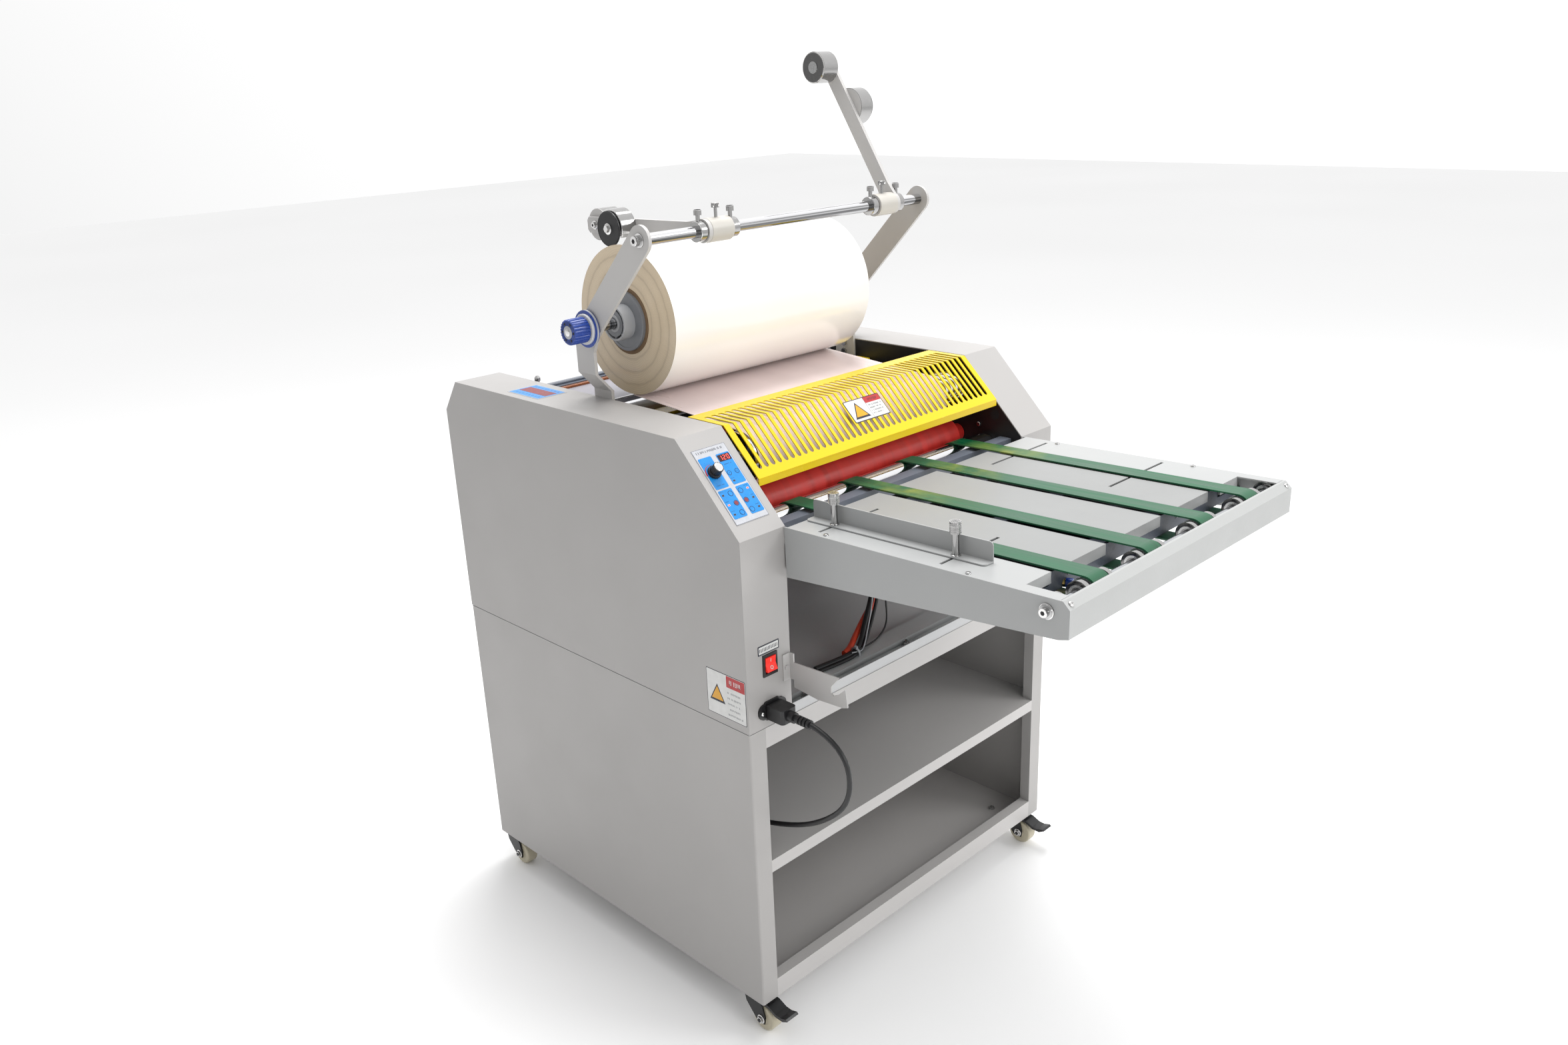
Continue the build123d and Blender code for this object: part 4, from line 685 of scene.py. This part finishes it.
def make_panel():
    panel = Piece("panel_graphics", plane(at(0, 0, SLOPE_Z), X_OUT, SLOPE))
    for border in PANEL_BORDERS:
        panel.plate(*border, 0.6, 0.7, GREY_INK, 0.1, 0.02)
    strokes(panel, -323.5, -279, 129, 132.2, 0.62, DARK_INK, 1.7, 0.12)
    for field in PANEL_FIELDS:
        panel.plate(*field, 0.6, 0.92, BLUE_INK, 1.8, 0.12)
    panel.plate(-295.6, -275.4, 110.6, 120.4, 0.9, 1.15, SCREEN, 0.6, 0.1)
    for index, digit in enumerate(DIGITS):
        for segment in digit:
            u0, u1, v0, v1 = SEGMENTS[segment]
            left = -293.6 + index * 5.9
            panel.plate(left + u0 * 1.15, left + u1 * 1.15, 111.9 + v0, 111.9 + v1, 1.1, 1.24, LIT_RED, 0.3, 0.05)
    strokes(panel, -292.5, -279.5, 105.2, 106.6, 0.9, DARK_INK, 1)
    strokes(panel, -322.5, -309, 79.6, 81, 0.9, DARK_INK, 1)
    for u in (-292.6, -279.3):
        round_key(panel, u, 92.6, 3.5, BLUE_INK, DARK_INK)
        tip = 1 if u < -285 else -1
        panel.prism([(u - 0.9, 92.6 - tip * 0.6), (u + 0.9, 92.6 - tip * 0.6), (u, 92.6 + tip)], 1.1, 1.2, DARK_INK)
    strokes(panel, -295.4, -289.5, 84, 85.2, 0.9, DARK_INK, 1)
    lamp(panel, -292.6, 80.6, False)
    for v, cap in ((65.6, BLUE_INK), (51, DULL_RED), (36.7, BLUE_INK)):
        round_key(panel, -309.6, v, 3.9, cap, DARK_INK)
        round_key(panel, -292.4, v - 0.3, 3.9, cap, DARK_INK)
        lamp(panel, -322.2, v, v == 51)
        lamp(panel, -280, v, v == 65.6)
        strokes(panel, -325, -319, v + 4.4, v + 5.6, 0.9, DARK_INK, 1)
        strokes(panel, -283.5, -277, v + 3.8, v + 5, 0.9, DARK_INK, 1)
    panel.done(slot="panel_film")
    knob_x = middle_of("speed_knob").x / MM
    knob_place = plane(at(knob_x, KNOB_RUN * SLOPE.y, SLOPE_Z + KNOB_RUN * SLOPE.z), X_OUT, SLOPE)
    scale = Piece("speed_scale", knob_place)
    sweep = [math.radians(78 + 8 * step) for step in range(SCALE_STEPS + 1)]
    outer = [polar(12.3, angle) for angle in sweep]
    inner = [polar(11.9 - 1.6 * step / SCALE_STEPS, angle) for step, angle in enumerate(sweep)]
    lines = [[scale.bm.verts.new((u * MM, v * MM, 0.00095)) for u, v in line] for line in (outer, inner)]
    index = scale.index(RED_INK)
    for a, b, c, d in zip(lines[0], lines[0][1:], lines[1][1:], lines[1]):
        scale.bm.faces.new((a, b, c, d)).material_index = index
    scale.done(slot="panel_film")
    cap = Piece("knob_cap", knob_place)
    black = MATERIALS["black_plastic"]
    cap.rings([(ribbed(9.3, 0.5, 22), 1.1), (ribbed(9.3, 0.5, 22), 4.6), (ribbed(8.4, 0.4, 22), 5.4)], black)
    cap.rings([(ribbed(7.6, 0.45, 18), 5.2), (ribbed(7.3, 0.45, 18), 15)], black)
    cap.turned([(6, 14.9), (6, 15.5), (5.5, 15.8), (3, 15.7), (1, 15.6)], STEEL, steps=36)
    cap.plate(-0.3, 0.3, 5.6, 8.6, 4.9, 5.6, WHITE_INK, 0.1, 0.02)
    cap.done("speed_knob", "black_plastic")


make_panel()


# --- Labels, with plain marks instead of words ---
def triangle(piece, u, v, size, out, inner):
    outer_points = [(u - size, v - size * 0.8), (u + size, v - size * 0.8), (u, v + size * 0.95)]
    piece.prism(outer_points, out, out + 0.06, DARK_INK, 0.99)
    inset = size * 0.76
    piece.prism([(u - inset, v - inset * 0.78), (u + inset, v - inset * 0.78), (u, v + inset * 0.95)], out + 0.05,
                out + 0.12, inner, 0.99)


def make_labels():
    slope_run = Vector((0, 63, 61)).normalized()
    guard = Piece("guard_label", plane(at(0, 47, 817), X_OUT, slope_run))
    guard.plate(-42.6, 32.4, 32.6, 69.6, 0.05, 0.35, DARK_INK, 1.6, 0.05)
    guard.plate(-41.4, 31.2, 33.8, 68.4, 0.2, 0.42, WHITE_INK, 1.3, 0.05)
    guard.plate(-2.2, -1.8, 33.5, 68.7, 0.38, 0.46, DARK_INK, 0.05, 0.01)
    guard.plate(-1.6, 31.2, 58.6, 68.4, 0.38, 0.48, RED_INK, 0.8, 0.02)
    triangle(guard, -22, 50, 15.5, 0.4, AMBER_INK)
    strokes(guard, 6, 26, 61.4, 65.6, 0.46, DARK_INK, 2)
    for v in (53.4, 48.6, 43.8, 39):
        strokes(guard, 1, random.uniform(18, 29), v, v + 2.2, 0.42, DARK_INK, 1.3)
    guard.done("guard", "yellow_paint")

    top = Piece("top_label", facing_up(0, 0, 878))
    top.plate(-326, -274, 432, 511, 0.02, 0.3, PALE_PLASTIC, 1.2, 0.05)
    top.plate(-324, -276, 434.5, 508.5, 0.25, 0.42, BLUE_INK, 1, 0.03)
    top.plate(-309, -288, 438, 505, 0.38, 0.5, DULL_RED, 1, 0.03)
    for v in range(442, 502, 8):
        top.tube([(1.9, 0.4), (1.5, 0.4), (1.5, 0.5), (1.9, 0.5)], KEY_BLUE, (-317, float(v)), 16)
        top.plate(-284, -281.5, v - 2.4, v + 2.4, 0.4, 0.47, KEY_BLUE, 0.4, 0.02)
    top.done(slot="panel_film")

    side = Piece("side_label", facing_left(-340, 0, 0))
    side.plate(-79, -3.5, 505, 570, 0, 0.18, DARK_INK, 1.6, 0.03)
    side.plate(-78.2, -4.3, 505.8, 569.2, 0.1, 0.26, WHITE_INK, 1.4, 0.03)
    side.plate(-40, -4.8, 552, 568.6, 0.22, 0.32, RED_INK, 1, 0.02)
    triangle(side, -58.5, 537, 15, 0.24, AMBER_INK)
    for v in (543, 535, 527, 519, 511):
        strokes(side, -38.5, random.uniform(-20, -8), v, v + 2.6, 0.24, GREY_INK, 1.7)
    strokes(side, -34, -11, 557, 563.5, 0.3, WHITE_INK, 2.8)
    side.done(slot="cabinet_paint")

    switch = Piece("switch_label", facing_front(0, 0, 0))
    switch.plate(-318.2, -280, 600.2, 613.4, 0, 0.35, DARK_INK, 0.8, 0.05)
    switch.plate(-316.6, -281.6, 601.8, 611.8, 0.25, 0.45, WHITE_INK, 0.5, 0.03)
    strokes(switch, -315.4, -283, 604.4, 609.4, 0.42, DARK_INK, 2.6, 0.1)
    switch.done(slot="panel_film")


make_labels()


# --- Film unwind ---
# (station, z) of the supply roll's axis and of the crossbar.
SUPPLY = (348, 984)
CROSSBAR = (223, 1112)


def make_unwind():
    knob = Piece("knob_ribs", facing_left(-285.3, *SUPPLY))
    blue = MATERIALS["blue_plastic"]
    knob.rings([(ribbed(18, 1, 26), 10.2), (ribbed(18, 1, 26), 34.6), (ribbed(17.2, 1, 26), 36)], blue)
    knob.tube([(25, 0.4), (19, 0.4), (19, 2.4), (25, 2.4)], blue)
    knob.tube([(26.5, 2.6), (16, 2.6), (16, 5.8), (25.4, 5.8), (26.5, 5.2)], PALE_PLASTIC)
    knob.turned([(21.5, 5.8), (21.5, 8.8), (20.8, 9.4)], WHITE_INK)
    knob.turned([(9.2, 36), (9.2, 36.5), (8.6, 36.8)], PALE_PLASTIC)
    knob.turned([(5.2, 36.7), (5.2, 37.1), (4.8, 37.3)], STEEL)
    # Six holes in the knob's face, each a small dark disc of painted shade.
    for spoke in range(6):
        hole = polar(12.6, math.radians(60 * spoke))
        knob.turned([(1.7, 36), (1.7, 36.3), (1.5, 36.4)], RECESS_SHADE, hole, 12)
    knob.done("tension_knob", "blue_plastic")

    for name, x, facing in (("left", -218, facing_left), ("right", 182, facing_right)):
        hub = Piece("core_hub_" + name, facing(x, *SUPPLY))
        hub.tube([(42.4, 1.2), (38, 1.2), (38, 5.6), (41.8, 5.6), (42.4, 5.2)], MATERIALS["grey_plastic"])
        hub.tube([(25, 5), (22.2, 5), (22.2, 24.4), (24.6, 24.4), (25, 24)], PALE_PLASTIC)
        hub.tube([(12.5, 5), (9, 5), (9, 24.6), (12.2, 24.6), (12.5, 24.2)], PALE_PLASTIC)
        for spoke in range(8):
            angle = 2 * math.pi * spoke / 8
            ca, sa = math.cos(angle), math.sin(angle)
            wing = [(12 * ca - 0.9 * sa, 12 * sa + 0.9 * ca), (12 * ca + 0.9 * sa, 12 * sa - 0.9 * ca),
                    (23 * ca + 0.9 * sa, 23 * sa - 0.9 * ca), (23 * ca - 0.9 * sa, 23 * sa + 0.9 * ca)]
            hub.prism(wing, 5, 22.5, PALE_PLASTIC)
        hub.turned([(22.2, 5), (22.2, 12), (22, 12.2)], MATERIALS["grey_plastic"])
        hub.done("supply_roll", "grey_plastic")
    for side, facing in ((-1, facing_left), (1, facing_right)):
        screw = Piece("crossbar_screw_" + ("left" if side < 0 else "right"), facing(side * 285, *CROSSBAR))
        cap_screw(screw, 6.6, 8.2, 0, STEEL, 9.5)
        screw.done(slot="nickel_plate")


make_unwind()


# --- Edge cutters ---
WHEEL_REACH, WEIGHT_REACH = 168, 238
HOOP_STEPS = 40


def make_cutter(name, hub_x, out, angle):
    """One edge cutter; out is its outer side (-1 left, 1 right), angle its arm's rest angle in degrees."""
    arm_body, wheel_body, ring_body = name + "_cutter_arm", name + "_cutter_wheel", name + "_cutter_carriage"
    facing = facing_left if out < 0 else facing_right
    turn = math.radians(angle)

    def swing(reach):
        """(station, z) of a point on the arm, reach mm from the crossbar."""
        station, z = CROSSBAR
        return station + reach * math.cos(turn), z + reach * math.sin(turn)

    hub = Piece(name + "_cutter_hub", facing(hub_x, *CROSSBAR))
    hub.tube([(16.6, -19.4), (16, -20), (15.9, -20), (15.9, 19.6), (16, 20), (16.6, 19.4)], HUB_PAINT)
    hub.done(arm_body, "arm_paint")
    screw = Piece(name + "_hub_screw", facing_up(hub_x, *CROSSBAR))
    screw.turned([(2.3, 14), (2.3, 29)], STEEL)
    screw.rings([(ribbed(5.6, 0.35, 26), 29), (ribbed(5.6, 0.35, 26), 34.6), (ribbed(5, 0.3, 26), 35.2)], STEEL)
    screw.done(arm_body, "nickel_plate")
    bar_out = hub_x + out * 26
    disc = Piece(name + "_wheel_bolt", facing(bar_out + out * 30, *swing(WHEEL_REACH)))
    hex_bolt(disc, 5.2, 3.6, 0, STEEL, 8)
    disc.done(wheel_body, "black_plastic")
    rim = Piece(name + "_wheel_rim", facing(bar_out + out * 27, *swing(WHEEL_REACH)))
    rim.tube([(24.9, 0.2), (23, 0), (23, 3.05), (24, 3.2), (24.9, 2.6)], MATERIALS["black_plastic"])
    rim.done(wheel_body, "black_plastic")
    hood = Piece(name + "_hoop", facing(bar_out, *swing(WHEEL_REACH)))
    sweep_angles = [math.radians(-25 + 230 * step / HOOP_STEPS) + out * turn for step in range(HOOP_STEPS + 1)]
    index = hood.index(STEEL)
    rows = []
    for radius, level in ((27.6, 0.4), (27.6, 25.6), (26.9, 26.3), (25.2, 26.3), (25.2, 0.4)):
        rows.append([hood.bm.verts.new((*polar(radius * MM, a), level * MM)) for a in sweep_angles])
    for low, high in zip(rows, rows[1:] + rows[:1]):
        for i in range(len(low) - 1):
            hood.bm.faces.new((low[i], low[i + 1], high[i + 1], high[i])).material_index = index
    for end in (0, -1):
        hood.bm.faces.new([row[end] for row in rows]).material_index = index
    hood.done(arm_body, "nickel_plate")
    weight = Piece(name + "_weight", facing(hub_x + out * 20, *swing(WEIGHT_REACH)))
    weight.turned([(21.6, -32.6), (23.4, -31), (23.4, -1.2), (22.6, -0.2)], STEEL, steps=64)
    weight.turned([(9, -33.6), (9, -32.5)], SATIN, steps=32)
    weight.done(arm_body, "nickel_plate")
    end_bolt = Piece(name + "_weight_bolt", facing(bar_out, *swing(WEIGHT_REACH)))
    cap_screw(end_bolt, 4.4, 3.4, 0, STEEL, 6.5)
    end_bolt.done(arm_body, "nickel_plate")
    clamp = Piece(name + "_clamp_heads", facing_up(0, *CROSSBAR))
    for x in (hub_x + out * 32.5, hub_x - out * 26.5):
        clamp.turned([(5.4, 22), (5.4, 28.4), (4.9, 29)], STEEL, (x, 0), 24)
    clamp.done(ring_body, "nickel_plate")
    ring = Piece(name + "_collar_rings", facing(hub_x, *CROSSBAR))
    for level in (-33, 26.4):
        ring.tube([(14, level + 1), (13.2, level), (13.2, level + 12), (14, level + 11)], STEEL)
    ring.done(ring_body, "nickel_plate")


make_cutter("left", -150, -1, -1.1)
make_cutter("right", 194, 1, 58)


# --- Feed table ---
# The table's top starts at its front edge and falls towards the rear by this slope.
TABLE_TURN = math.atan(0.0289)
TABLE_FRONT, TABLE_FRONT_Z = -400, 775.2
TABLE_ALONG = Vector((0, math.cos(TABLE_TURN), -math.sin(TABLE_TURN)))


def on_table(x, station, up):
    """A point above the table's top, with the station measured along the table."""
    along = station - TABLE_FRONT
    return at(x, TABLE_FRONT + along * math.cos(TABLE_TURN) + up * math.sin(TABLE_TURN),
              TABLE_FRONT_Z - along * math.sin(TABLE_TURN) + up * math.cos(TABLE_TURN))


def table_top(x, station, up=0):
    return plane(on_table(x, station, up), X_OUT, TABLE_ALONG)


TABLE_SCREWS = (("a", -255.4, -67.5), ("b", -256.5, -288), ("c", 255.4, -67.5), ("d", 256.5, -288))
PULLEYS_X = (-177, -61.5, 64.5, 183)


def make_table():
    """Screws, bearings and the air fitting of the feed table, and the side guide's thumb screws."""
    for name, station in (("rear", -51.5), ("front", -244)):
        head = Piece("thumb_screw_" + name, table_top(-221.8, station))
        head.rings([(ribbed(7, 0.35, 34), 30), (ribbed(7.1, 0.35, 34), 36), (ribbed(7.1, 0.35, 34), 37),
                    (ribbed(7, 0.35, 34), 43.2), (ribbed(6.2, 0.2, 34), 44.3)], STEEL)
        for groove in range(6):
            level = 31.4 + groove * 2
            head.tube([(7.3, level), (6.6, level), (6.6, level + 0.8), (7.3, level + 0.8)], STEEL)
        head.turned([(4.35, 2.3), (4.35, 29.6)], STEEL)
        head.turned([(6.2, 2.1), (6.2, 3), (5.8, 3.3)], STEEL)
        head.done("guide_screw_" + name, "nickel_plate")
    for name, x, station in TABLE_SCREWS:
        screw = Piece("table_screw_" + name, table_top(x, station))
        cross_screw(screw, 3.5, 0, STEEL)
        screw.done(slot="zinc_plate")
    chamfer_up = Vector((0, 9, 8.6)).normalized()
    for name, x in (("left", -255), ("right", 255)):
        screw = Piece("rail_screw_" + name, plane(at(x, -421.6, 771.3), X_OUT, chamfer_up))
        cross_screw(screw, 3.6, 0.05, STEEL)
        screw.done(slot="zinc_plate")
    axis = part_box("idler_shaft")
    middle = middle_of("idler_shaft")
    for name, side, x in (("left", -1, axis[0].x), ("right", 1, axis[1].x)):
        across = Vector((0, side, 0))
        nut = Piece("tension_screw_" + name, plane(Vector((x, middle.y, middle.z)), across, Z_OUT))
        nut.turned([(9.4, 0), (9.4, 1.1), (9, 1.4)], STEEL)
        nut.turned([(8.2, 1.3), (8.2, 2.6), (7.8, 2.9)], SATIN)
        cap_screw(nut, 5.6, 5.4, 2.8, STEEL)
        nut.done(slot="zinc_plate")
        slot_shade = Piece("tension_slot_" + name, plane(Vector((x, middle.y, middle.z)), across, Z_OUT))
        slot_shade.plate(-9, 9, -4, 4, -1.6, -0.6, RECESS_SHADE, 4, 0.1)
        slot_shade.done(slot="black_paint")
    bearing_x = [-245, *(x + side for x in PULLEYS_X for side in (-23.5, 23.5)), 246]
    bearings = Piece("idler_bearings", plane(Vector((0, middle.y, middle.z)), Y_OUT, Z_OUT))
    for x in bearing_x:
        bearings.tube([(15.6, x - 3.4), (13.2, x - 4), (6.1, x - 4), (6.1, x + 4), (13.2, x + 4),
                       (15.6, x + 3.4)], STEEL)
        bearings.tube([(11, x - 4.4), (8.2, x - 4.4), (8.2, x + 4.4), (11, x + 4.4)], SATIN)
    bearings.done("idler_shaft", "machined_aluminium")
    fitting = Piece("air_fitting", plane(on_table(-166, -352, -24), Vector((1, 0.4, 0)), Z_OUT))
    fitting.turned([(5.4, -6), (5.4, 4), (4.6, 5)], BRASS, steps=6)
    fitting.turned([(5.8, 5), (5.8, 12), (5, 13)], MATERIALS["blue_plastic"])
    # The fitting's bore: a dark disc of painted shade.
    fitting.turned([(2.8, 12.9), (2.8, 13.4)], RECESS_SHADE)
    fitting.done(slot="zinc_plate")


make_table()


# --- Rollers seen through the guard and behind it, and the mounting bay ---
DECK_Z = 494.5


def make_inside():
    """Bars and strips behind the rollers, bolts of the side plates and the deck, and the guard's lip."""
    strip = Piece("rear_strips", facing_up(0, 0, 0))
    strip.plate(-259, 259, 522.5, 530, 857.6, 861.2, COPPER, 0.6, 0.4)
    strip.plate(-259, 259, 400.5, 404.5, 857.4, 860, SATIN, 0.4, 0.3)
    strip.done(slot="cabinet_paint")
    bars = Piece("rear_inner_bars", facing_up(0, 0, 0))
    bars.plate(-258.5, 258.5, 308, 338, 842, 849, MATERIALS["yellow_paint"], 1.5, 0.6)
    bars.plate(-258.5, 258.5, 292, 304, 836, 846, MATERIALS["black_paint"], 1, 0.5)
    bars.plate(-258.5, -222, 296, 300, 846, 848.5, RED_INK, 0.6, 0.3)
    bars.done(slot="black_paint")
    for side, facing in ((-1, facing_right), (1, facing_left)):
        plate = Piece("side_plate_bolts_" + ("left" if side < 0 else "right"), facing(side * 260, 0, 0))
        way = 1 if side < 0 else -1
        # A thin dark disc of painted shade on the side plate.
        plate.turned([(8.5, 0), (8.5, 0.15)], RECESS_SHADE, (51.4 * way, 791.5), 32)
        for station, z in ((81.2, 771.4), (150, 785), (96, 700)):
            cap_screw(plate, 3.4, 2.6, 0, STEEL, None, (station * way, z))
        plate.done(slot="black_paint")
    deck = Piece("deck_bolts", facing_up(0, 0, 0))
    for centre in ((4, 20), (-212, 20)):
        hex_bolt(deck, 5.6, 4.4, DECK_Z, SATIN, 8, centre)
        deck.turned([(2.6, DECK_Z + 5.4), (2.6, DECK_Z + 8.4), (2, DECK_Z + 8.9)], STEEL, centre, 20)
    deck.done(slot="zinc_plate")
    pin = Piece("housing_pin", facing_up(-251, 541, 866))
    pin.turned([(3, 0), (3, 9), (4.6, 10), (4.6, 14.5), (2.2, 17.5)], SATIN, steps=24)
    pin.done(slot="zinc_plate")
    lip = Piece("guard_lip_edge", facing_up(0, 0, 0))
    lip.plate(-257.5, 257.5, 46.6, 48.4, 815.9, 817.4, MATERIALS["yellow_paint"], 0.5, 0.4)
    lip.done("guard", "yellow_paint")


make_inside()


# --- Casters and inlet ---
CASTERS = (
    ("front_left", -318, 34), ("front_right", 318, 34),
    ("rear_left", -318, 650), ("rear_right", 318, 650),
)
CASTER_R, CASTER_TRAIL = 21, 18


def make_casters():
    for name, x, station in CASTERS:
        for side, facing, end in ((-1, facing_left, "_l"), (1, facing_right, "_r")):
            bolt = Piece("axle_bolt_" + name + end, facing(x + side * 13.7, station - CASTER_TRAIL, CASTER_R))
            hex_bolt(bolt, 5.4, 3.2, 0, STEEL, 7)
            bolt.done("caster_swivel_" + name, "zinc_plate")
            hub = Piece("wheel_hub_" + name + end, facing(x + side * 10, station - CASTER_TRAIL, CASTER_R))
            hub.tube([(12.5, -0.2), (11, -0.2), (11, 0.5), (12.2, 0.5)], MATERIALS["cream_nylon"])
            hub.turned([(9, -0.2), (9, 0.6), (8, 1)], MATERIALS["cream_nylon"])
            hub.done("caster_wheel_" + name, "cream_nylon")
        king = Piece("king_bolt_" + name, facing_up(x, station, 47.4))
        king.turned([(6, -3), (6, -0.4)], STEEL, steps=24)
        king.done("caster_swivel_" + name, "zinc_plate")
        plate = Piece("plate_bolts_" + name, facing_up(x, station, 55))
        for u, v in ((-14, -14), (14, -14), (-14, 14), (14, 14)):
            plate.turned([(2.8, -2.4), (3.2, -2), (3.2, 0)], STEEL, (u, v), 6)
        plate.done(slot="zinc_plate")


INLET_X, INLET_Z = -298, 518.4
ROCKER_TIP = math.radians(9)
ROCKER_FACE = math.atan2(2.6, 9.8)


def make_inlet():
    """Screws of the mains inlet and the two marks on the rocker's faces."""
    for side in (-1, 1):
        place = facing_front(INLET_X + side * 20, -4.4, INLET_Z)
        screw = Piece("inlet_screw_" + ("left" if side < 0 else "right"), place)
        cross_screw(screw, 3.1, 0, STEEL)
        screw.done(slot="zinc_plate")
    for name, offset, lean in (("on", 5.2, ROCKER_FACE - ROCKER_TIP), ("off", -5, -ROCKER_FACE - ROCKER_TIP)):
        inward = -7.2 - abs(offset) * 0.265
        station = 5 + inward * math.cos(ROCKER_TIP) + offset * math.sin(ROCKER_TIP)
        z = 583 - inward * math.sin(ROCKER_TIP) + offset * math.cos(ROCKER_TIP)
        lean_up = Vector((0, -math.sin(lean), math.cos(lean)))
        mark = Piece("rocker_" + name, plane(at(INLET_X, station, z), X_OUT, lean_up))
        if name == "on":
            mark.plate(-0.5, 0.5, -2.4, 2.4, 0.02, 0.3, WHITE_INK, 0.4, 0.05)
        else:
            mark.tube([(2.6, 0.02), (1.7, 0.02), (1.7, 0.3), (2.6, 0.3)], WHITE_INK)
        mark.done("switch_rocker", "red_lens")


make_casters()
make_inlet()


# --- Cords ---
LEAD_D = 7.0
SHELF_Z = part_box("cord_coil")[0].z / MM
COIL_X = -225
COIL_STATION = 300
COIL_SIDE = COIL_X - 45.5
PLUG_X = COIL_X + 45.5
ROUTE = [
    (INLET_X, -72, INLET_Z),
    (INLET_X, -131, INLET_Z - 9),
    (INLET_X + 3, -140, INLET_Z - 90),
    (INLET_X + 9, -66, INLET_Z - 158),
    (INLET_X + 20, 40, INLET_Z - 205),
    (INLET_X + 31, 128, SHELF_Z + LEAD_D / 2 + 1),
    (COIL_SIDE, 196, SHELF_Z + LEAD_D / 2),
    (COIL_SIDE, 276, SHELF_Z + LEAD_D / 2),
]
# Each turn of the put-away coil: (its radius, its layer); the last half turn ends beside the plug.
COIL_TURNS = ((45.5, 0), (38.5, 0), (31.5, 0), (31.5, 1), (38.5, 1), (45.5, 1))
COIL_STEPS = 16


def coil_points():
    """The put-away turns, wound inwards on the shelf and outwards again on top."""
    points = []
    for step in range(1, COIL_STEPS * 5 + COIL_STEPS // 2 + 1):
        turn = step / COIL_STEPS
        index = min(int(turn), len(COIL_TURNS) - 1)
        radius, layer = COIL_TURNS[index]
        before = COIL_TURNS[index - 1] if index else COIL_TURNS[0]
        share = min(1, (turn - index) / 0.25)
        radius = before[0] + (radius - before[0]) * share
        layer = before[1] + (layer - before[1]) * share
        spot = polar(radius, math.pi - 2 * math.pi * turn, (COIL_X, COIL_STATION))
        points.append((*spot, SHELF_Z + LEAD_D / 2 + layer * LEAD_D))
    points.append((PLUG_X, 280, SHELF_Z + LEAD_D * 1.5))
    points.append((PLUG_X, 262, SHELF_Z + LEAD_D * 1.5))
    return points


def curve_piece(name, points, radius, material, body="frame"):
    """A round cord whose smooth line has these points as its control points."""
    data = bpy.data.curves.new(name, "CURVE")
    data.dimensions = "3D"
    data.bevel_depth = radius * MM
    data.bevel_resolution = 5
    data.resolution_u = 8
    data.use_fill_caps = True
    spline = data.splines.new("NURBS")
    spline.points.add(len(points) - 1)
    for point, place in zip(spline.points, points):
        point.co = (*at(*place), 1)
    spline.order_u = 3
    spline.use_endpoint_u = True
    piece = add_object(name, data)
    data.materials.append(material)
    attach(piece, body)
    return piece


def make_lead():
    lead = curve_piece("mains_lead", ROUTE + coil_points(), LEAD_D / 2, MATERIALS["cord_black"])
    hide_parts("power_cord", "cord_coil")


make_lead()
BAY_CABLES = (
    ("bay_bundle", "black_plastic", 4.4, (
        (14, 92, 706), (6, 84, 640), (-12, 70, 575), (-40, 61, 540), (-64, 51, 511),
        (-84, 44, 507.2), (-120, 45, 507.2), (-162, 50, 507.2))),
    ("bay_cable", "cord_black", 2.6, (
        (22, 88, 706), (12, 80, 640), (-4, 66, 574), (-34, 55, 536), (-62, 45, 510),
        (-86, 38.4, 506), (-120, 38, 505.6), (-160, 43, 505.6))),
    ("bay_wire", "cord_black", 1.3, (
        (20, 92, 706), (17, 78, 600), (17, 68, 528), (2, 60, 510), (-42, 46, 506),
        (-80, 40, 512))),
    ("bay_white_wire", "pale_plastic", 1, (
        (8, 86, 706), (-3, 78, 640), (-20, 64, 566), (-46, 52, 530), (-70, 40, 507),
        (-86, 38, 511), (-94, 41, 511))),
    ("bay_hose", "orange_rubber", 4.6, (
        (34, 98, 706), (20, 92, 640), (-2, 76, 556), (-30, 71, 540), (-58, 66, 519),
        (-86, 54, 508), (-98, 53, 507.4))),
)
BAY_FINISHES = {"pale_plastic": PALE_PLASTIC, "orange_rubber": ORANGE}


def make_bay_cables():
    for name, finish, radius, points in BAY_CABLES:
        cable = curve_piece(name, points, radius, BAY_FINISHES.get(finish) or MATERIALS[finish])
        if name == "bay_bundle":
            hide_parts("bay_cables")
    tie = Piece("cable_tie", plane(at(-83, 43, 508), Vector((0, 1, 0.2)), Vector((-0.2, -0.2, 1))))
    tie.tube([(8.2, -1.6), (7, -1.6), (7, 1.6), (8.2, 1.6)], PALE_PLASTIC, steps=20)
    tie.plate(-2.4, 2.4, 6.8, 10.8, -2.2, 2.2, PALE_PLASTIC, 0.4, 0.3)
    tie.done(slot="cord_black")


make_bay_cables()
